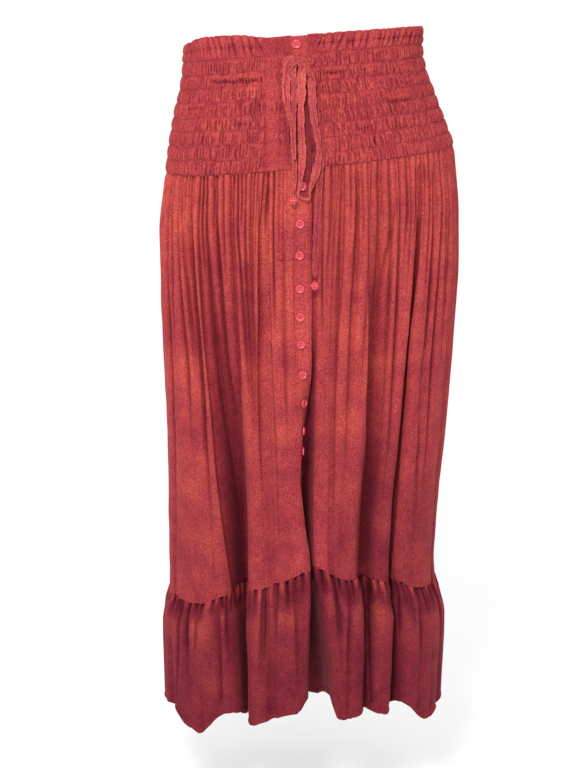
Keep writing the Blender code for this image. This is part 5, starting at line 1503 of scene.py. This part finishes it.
SHAPE = button_mesh()
SHAPE.materials.clear()
for number in range(1, 15):
    name = "button_%02d" % number
    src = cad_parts[name]
    co = np.array([v.co for v in src.data.vertices])
    mid = 0.5 * (co.min(0) + co.max(0))
    q = co - co.mean(0)
    _, _, axes = np.linalg.svd(q, full_matrices=False)
    n = axes[2]
    out = np.array([0.35, -1.0, 0.0])
    if n @ out < 0:
        n = -n
    h = (co @ n)
    base = co.mean(0) - n * (co.mean(0) @ n) + n * h.min()
    z = Vector(n)
    x = Vector((0, 0, 1)).cross(z).normalized()
    y = z.cross(x)
    turn = Matrix.Rotation(0.35 * math.sin(number * 2.4) + (0.6 if number % 3 == 0 else 0.1), 4, "Z")
    m = Matrix((x, y, z)).transposed().to_4x4()
    m.translation = Vector(base)
    mesh = SHAPE.copy()
    mesh.transform(m @ turn)
    mesh.shade_smooth()
    mesh.set_sharp_from_angle(angle=math.radians(50))
    obj = bpy.data.objects.new(name + "_moulded", mesh)
    bpy.context.scene.collection.objects.link(obj)
    dress(obj, [name], PLASTIC)

# ------------------------------------------------------------------------------------------------
# the tie
# ------------------------------------------------------------------------------------------------
def body_front(x, z):
    lo, hi = 0.0, 3.0
    for _ in range(32):
        drop = 0.5 * (lo + hi)
        a, _, _, shift = girth_sizes(drop)
        deg = math.degrees(math.asin(max(-1, min(1, (x - shift) / (a * (1 + FULLNESS))))))
        p, n, _ = ring(drop, deg)
        if level(drop, p[0], p[1], deg, deg) > z:
            lo = drop
        else:
            hi = drop
    return np.array([p[0], p[1], z]), np.array([n[0], n[1], 0.0])


def ribbon(route, spacing=1.6 * MM):
    """Centreline, side and face vectors, and half widths along a smooth curve through a route."""
    rows = np.array(route, float)
    keys = np.arange(len(rows), dtype=float)
    length = np.concatenate([[0], np.cumsum(np.linalg.norm(np.diff(rows[:, :2], axis=0), axis=1))])
    count = max(6, int(round(length[-1] * MM / spacing)))
    at = np.interp(np.linspace(0, length[-1], count + 1), length, keys)
    padded = np.vstack([2 * rows[0] - rows[1], rows, 2 * rows[-1] - rows[-2]])
    pts = []
    for u in at:
        i = min(int(u), len(rows) - 2)
        t = u - i
        p0, p1, p2, p3 = padded[i : i + 4]
        pts.append(0.5 * (2 * p1 + (p2 - p0) * t + (2 * p0 - 5 * p1 + 4 * p2 - p3) * t**2 + (3 * p1 - p0 - 3 * p2 + p3) * t**3))
    pts = np.array(pts)
    centre, normal = [], []
    for x, z, lift, _, _ in pts:
        p, n = body_front(x * MM, z * MM)
        centre.append(p + n * lift * MM)
        normal.append(n)
    centre, normal = np.array(centre), np.array(normal)
    run = np.gradient(centre, axis=0)
    run /= np.linalg.norm(run, axis=1)[:, None]
    side = np.cross(run, normal)
    side /= np.linalg.norm(side, axis=1)[:, None]
    up = np.cross(side, run)
    a = np.radians(pts[:, 4])[:, None]
    w = np.cos(a) * side + np.sin(a) * up
    f = np.cross(w, run)
    f /= np.linalg.norm(f, axis=1)[:, None]
    return centre, w, f, 0.5 * pts[:, 3] * MM


def crushed(route, seed, spacing=1.6 * MM):
    """A pressed, crumpled tube of cloth along a route: closed sections (rows, cols, 3), the painted shade in its
    furrows for the tint, and the centreline."""
    centre, w, f, half = ribbon(route, spacing)
    v = np.linspace(-1, 1, 19)
    count = len(centre)
    s = np.arange(count) * spacing / MM
    a = 0.34 * wave(s / 17.0, seed * 3 + 1)
    b = -0.52 + 0.22 * wave(s / 11.0, seed * 3 + 2)
    c = 0.55 + 0.20 * wave(s / 13.0, seed * 3 + 3)
    strong = 0.75 + 0.5 * wave(s / 15.0, seed * 5 + 4)
    rows, deep = [], []
    for k in range(count):
        wide = half[k] / (5.0 * MM)
        furrow = strong[k] * np.exp(-(((v - a[k]) / 0.17) ** 2)) * 1.05 + 0.65 * np.exp(-(((v - b[k]) / 0.12) ** 2)) + 0.6 * (1.2 - strong[k]) * np.exp(-(((v - c[k]) / 0.12) ** 2))
        ridge = 0.55 * np.exp(-(((v - a[k] - 0.30) / 0.14) ** 2)) + 0.45 * np.exp(-(((np.abs(v) - 0.86) / 0.10) ** 2))
        cross = 0.20 * np.sin(s[k] * 0.9 + v * 2.5 + seed) * wave(np.array([s[k] / 9.0]), seed + 40)[0] + 0.22 * np.sin(s[k] * 0.33 + v * 4.0 + seed * 2)
        ripple = (ridge - furrow * min(1.0, 0.5 + 0.5 * wide) + cross) * MM * 1.1
        taper = min(1.0, (k + 0.06) / 2.0, (count - 1 - k + 0.06) / 2.0)
        body = (0.60 * MM * np.sqrt(np.clip(1 - v**4, 0, 1)) + 0.05 * MM) * taper
        spread = half[k] * taper * (1 + 0.13 * np.sin(s[k] * 0.42 + seed) * np.sin(s[k] * 0.13 + 2 * seed))
        front = centre[k] + np.outer(v * spread, w[k]) + np.outer(ripple * taper + body, f[k])
        back = centre[k] + np.outer(v[::-1] * spread, w[k]) + np.outer((0.6 * ripple * taper - body)[::-1], f[k])
        rows.append(np.vstack([front, back[1:-1]]))
        # painted shade in the furrows, less on the ridges, faint on the back face
        line = np.clip(furrow * 6.0 - 0.6 - ridge * 2, 0, 7)
        deep.append(np.concatenate([line, line[::-1][1:-1] * 0.3]))
    return np.array(rows), np.array(deep), centre


def tie_strip(name, route, seed, tones):
    """tones: how far along the strip, tone there, shade there."""
    rows, deep, centre = crushed(route, seed)
    way = np.linspace(0, 1, len(rows))
    data = np.array(tones, float)
    tone = np.interp(way, data[:, 0], data[:, 1])[:, None]
    shade = np.interp(way, data[:, 0], data[:, 2])[:, None]
    # painted highlight along the strip's rolled edges
    edge = np.zeros(rows.shape[1])
    edge[[0, 1, 17, 18, 19, -1]] = 0.42
    edge[[2, 16]] = 0.20
    obj = grid_mesh(name + "_cloth", rows, wrap=True, flip=True, tint=tint_of(rows, deep, extra=tone + edge[None, :], shade=np.broadcast_to(shade, deep.shape)))
    dress(obj, [name], TIE)
    total = float(np.linalg.norm(np.diff(centre, axis=0), axis=1).sum())
    return obj, [tuple(p) for p in centre], total


def bead(name, across, height, lift):
    """A cluster bead: little round petals over a ball, and a small drop under it."""
    p, n = body_front(across * MM, height * MM)
    c = p + n * lift * MM
    verts, faces = [], []

    def ball(mid, rx, ry, rz, around=14, down=9, tip=0.0):
        base = len(verts)
        verts.append((mid[0], mid[1], mid[2] + rz))
        for r in range(1, down):
            a = math.pi * r / down
            pull = 1 - tip * max(0.0, -math.cos(a)) ** 1.5
            for k in range(around):
                b = 2 * math.pi * k / around
                verts.append((mid[0] + rx * pull * math.sin(a) * math.cos(b), mid[1] + ry * pull * math.sin(a) * math.sin(b), mid[2] + rz * math.cos(a)))
        verts.append((mid[0], mid[1], mid[2] - rz))
        last = len(verts) - 1
        for k in range(around):
            m = (k + 1) % around
            faces.append((base, base + 1 + k, base + 1 + m))
            for r in range(down - 2):
                a0, b0 = base + 1 + r * around, base + 1 + (r + 1) * around
                faces.append((a0 + k, b0 + k, b0 + m, a0 + m))
            a0 = base + 1 + (down - 2) * around
            faces.append((a0 + k, last, a0 + m))

    ball(c, 3.4 * MM, 3.2 * MM, 4.2 * MM)
    for ring_z, rad, count, size, off in ((2.6, 2.6, 5, 1.9, 0.0), (0.0, 3.7, 7, 2.1, 0.4), (-2.8, 2.7, 5, 1.9, 0.1)):
        for k in range(count):
            a = 2 * math.pi * k / count + off
            ball((c[0] + rad * MM * math.cos(a), c[1] + rad * MM * math.sin(a), c[2] + ring_z * MM), size * MM, size * MM, size * MM, 10, 7)
    ball((c[0], c[1], c[2] - 5.4 * MM), 1.3 * MM, 1.3 * MM, 1.9 * MM, 10, 7, 0.6)
    ball((c[0], c[1], c[2] + 5.2 * MM), 1.6 * MM, 1.6 * MM, 1.4 * MM, 10, 7)
    mesh = bpy.data.meshes.new(name + "_cluster")
    mesh.from_pydata(verts, [], faces)
    mesh.shade_smooth()
    obj = bpy.data.objects.new(name + "_cluster", mesh)
    bpy.context.scene.collection.objects.link(obj)
    return dress(obj, [name], PLASTIC)


beads = {name: bead(name, across, height, lift) for name, across, height, lift in BEADS}

# the knot: a small crumpled core with turns of the strip wrapped over it
p, n = body_front(KNOT["across"] * MM, (KNOT["height"] + 0.4) * MM)
mid = p + n * (KNOT["lift"] - 1.6) * MM
around, down = 48, 24
kv = []
for r in range(down + 1):
    a = math.pi * (r + (0.03 if r == 0 else -0.03 if r == down else 0)) / down
    for k in range(around):
        b = 2 * math.pi * k / around
        d = np.array([math.sin(a) * math.cos(b) * 9.6, math.sin(a) * math.sin(b) * 3.8, math.cos(a) * 4.4])
        fold = 0.6 * math.sin(d[0] * 1.5 + d[2] * 0.6) + 0.35 * math.sin(d[0] * 2.7 - d[2] * 1.1 + 1)
        kv.append(mid + d * MM * (1 + 0.9 * fold / max(np.linalg.norm(d), 1.0) * math.sin(a)))
core = np.array(kv).reshape(down + 1, around, 3)
turns = [(core, np.zeros(core.shape[:2]), True)]
for number, wrap_route in enumerate((
    ((-30.5, -31.8, 4.5, 5.0, 10), (-29.5, -26.4, 7.5, 7.0, 5), (-25.5, -22.8, 9.2, 8.0, 0), (-20.5, -21.3, 10.0, 7.4, 0), (-16.0, -22.5, 10.2, 6.0, 0), (-13.0, -26.0, 9.5, 4.8, 0), (-12.0, -30.9, 8.0, 4.0, 0)),
    ((-23.6, -38.4, 9.6, 4.0, 0), (-22.8, -32.0, 11.2, 5.4, 0), (-19.5, -27.3, 12.4, 6.2, 0), (-14.8, -25.1, 13.0, 6.2, 0), (-11.3, -27.5, 12.4, 5.2, 0), (-11.0, -32.0, 11.2, 4.2, 0), (-12.0, -38.3, 10.0, 3.2, 0)),
    ((-17.0, -25.3, 8.2, 4.0, 0), (-13.0, -22.1, 10.0, 6.0, 0), (-8.5, -22.9, 10.0, 6.6, 0), (-4.8, -26.4, 9.0, 6.0, 0), (-1.6, -31.6, 8.2, 4.8, 5), (0.6, -37.4, 7.8, 3.8, 10)),
    ((-11.0, -27.6, 12.6, 3.6, 0), (-7.0, -27.8, 12.6, 4.6, 0), (-4.0, -31.5, 11.8, 4.4, 0), (-1.6, -37.2, 10.4, 3.4, 0), (-0.6, -43.7, 8.8, 2.4, 0)),
)):
    rows, deep, _ = crushed(wrap_route, 21 + number, 1.0 * MM)
    turns.append((rows, deep, False))
knot_v, knot_q, knot_tint, count = [], [], [], 0
for grid, deep, plain in turns:
    r, c = np.meshgrid(np.arange(grid.shape[0] - 1), np.arange(grid.shape[1]), indexing="ij")
    nxt = (c + 1) % grid.shape[1]
    q = np.stack([r * grid.shape[1] + c, (r + 1) * grid.shape[1] + c, (r + 1) * grid.shape[1] + nxt, r * grid.shape[1] + nxt], axis=-1).reshape(-1, 4)
    knot_q.append((q if plain else q[:, ::-1]) + count)
    knot_v.append(grid.reshape(-1, 3))
    # painted shade in the furrows of the turns, both darker and less light in tone; the knot's tone set lighter overall
    knot_tint.append(tint_of(grid, deep * 1.3, extra=0.40 - 0.07 * np.minimum(deep, 6)).reshape(-1, 3))
    count += grid.shape[0] * grid.shape[1]
knot = raw_mesh("tie_knot_cloth", np.concatenate(knot_v), np.concatenate(knot_q), np.concatenate(knot_tint))
dress(knot, ["tie_knot"], TIE)

# per strip: tone, and painted shade on the lower layers and the tails (the third number in each row)
for name, route, seed, pieces, far, width, tones in (
    ("tie_loop_right", LOOP_RIGHT, 1, [knot], "knot", 0.0095, ((0, 0.3, 0.0), (0.2, 0.3, 0.0), (0.45, 0.4, 0.0), (0.55, 0.3, 0.0), (0.75, 0.1, 0.1), (0.9, 0.1, 0.1), (1, 0.4, 0.0))),
    ("tie_loop_left", LOOP_LEFT, 2, [knot], "knot", 0.0105, ((0, 0.2, 0.0), (0.15, 0.1, 0.08), (0.36, 0.1, 0.08), (0.42, 0.5, 0.0), (0.45, 0.8, 0.0), (0.53, 0.8, 0.0), (0.58, 0.3, 0.0), (0.75, 0.2, 0.0), (0.82, 0.5, 0.0), (0.95, 0.6, 0.0), (1, 0.3, 0.0))),
    ("tie_tail_right", TAIL_RIGHT, 3, [beads["bead_right"]], "fitting", 0.0070, ((0, 0.0, 0.3), (0.7, 0.1, 0.15), (0.85, 0.25, 0.0), (1, 0.3, 0.0))),
    ("tie_tail_left", TAIL_LEFT, 4, [beads["bead_left"]], "fitting", 0.0085, ((0, 0.0, 0.3), (0.5, 0.0, 0.25), (1, 0.0, 0.1))),
):
    obj, path, total = tie_strip(name, route, seed, tones)

# ------------------------------------------------------------------------------------------------
# stage and light
# ------------------------------------------------------------------------------------------------
def stage_material(name, colour):
    m = bpy.data.materials.new(name)
    m.use_nodes = True
    s = m.node_tree.nodes["Principled BSDF"]
    s.inputs["Base Color"].default_value = (*colour, 1)
    s.inputs["Roughness"].default_value = 0.9
    return m


# a round pale floor that sweeps up into a wall, so that no horizon shows
FLOOR = -1.06
profile = [(0.0, 0.0), (1.2, 0.0), (2.6, 0.0), (4.0, 0.0)]
profile += [(4.0 + 2.4 * math.sin(a), 2.4 - 2.4 * math.cos(a)) for a in np.linspace(0, math.pi / 2, 16)[1:]]
profile += [(6.4, 4.5)]
around = 96
verts, faces = [(0.0, 0.0, FLOOR)], []
for rad, up in profile[1:]:
    for k in range(around):
        verts.append((rad * math.cos(2 * math.pi * k / around), rad * math.sin(2 * math.pi * k / around), FLOOR + up))
for k in range(around):
    n = (k + 1) % around
    faces.append((0, 1 + k, 1 + n))
    for j in range(len(profile) - 2):
        a, b = 1 + j * around, 1 + (j + 1) * around
        faces.append((a + k, b + k, b + n, a + n))
floor_mesh = bpy.data.meshes.new("floor")
floor_mesh.from_pydata(verts, [], faces)
floor_mesh.shade_smooth()
floor = bpy.data.objects.new("floor", floor_mesh)
bpy.context.scene.collection.objects.link(floor)
floor_white = stage_material("floor_white", (0.5, 0.5, 0.5))
glow = floor_white.node_tree.nodes["Principled BSDF"]
glow.inputs["Emission Color"].default_value = (1, 1, 1, 1)
glow.inputs["Emission Strength"].default_value = 0.48
floor_mesh.materials.append(floor_white)
floor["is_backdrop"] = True

world = bpy.data.worlds.new("studio")
bpy.context.scene.world = world
world.use_nodes = True
bg = world.node_tree.nodes["Background"]
bg.inputs[0].default_value = (1.0, 1.0, 1.0, 1.0)
bg.inputs[1].default_value = 1.0


def area_light(name, place, aim, size_x, size_y, power, colour=(1, 1, 1)):
    data = bpy.data.lights.new(name, "AREA")
    data.shape = "RECTANGLE"
    data.size, data.size_y = size_x, size_y
    data.energy = power
    data.color = colour
    obj = bpy.data.objects.new(name, data)
    obj.location = place
    d = Vector(aim) - Vector(place)
    obj.rotation_mode = "QUATERNION"
    obj.rotation_quaternion = d.to_track_quat("-Z", "Y")
    bpy.context.scene.collection.objects.link(obj)
    return obj


area_light("key", (-0.50, -1.80, 1.15), (0, 0, -0.15), 0.6, 0.5, 38)

bpy.context.scene.view_settings.view_transform = "Standard"
bpy.context.scene.view_settings.exposure = 0.0

low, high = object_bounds()
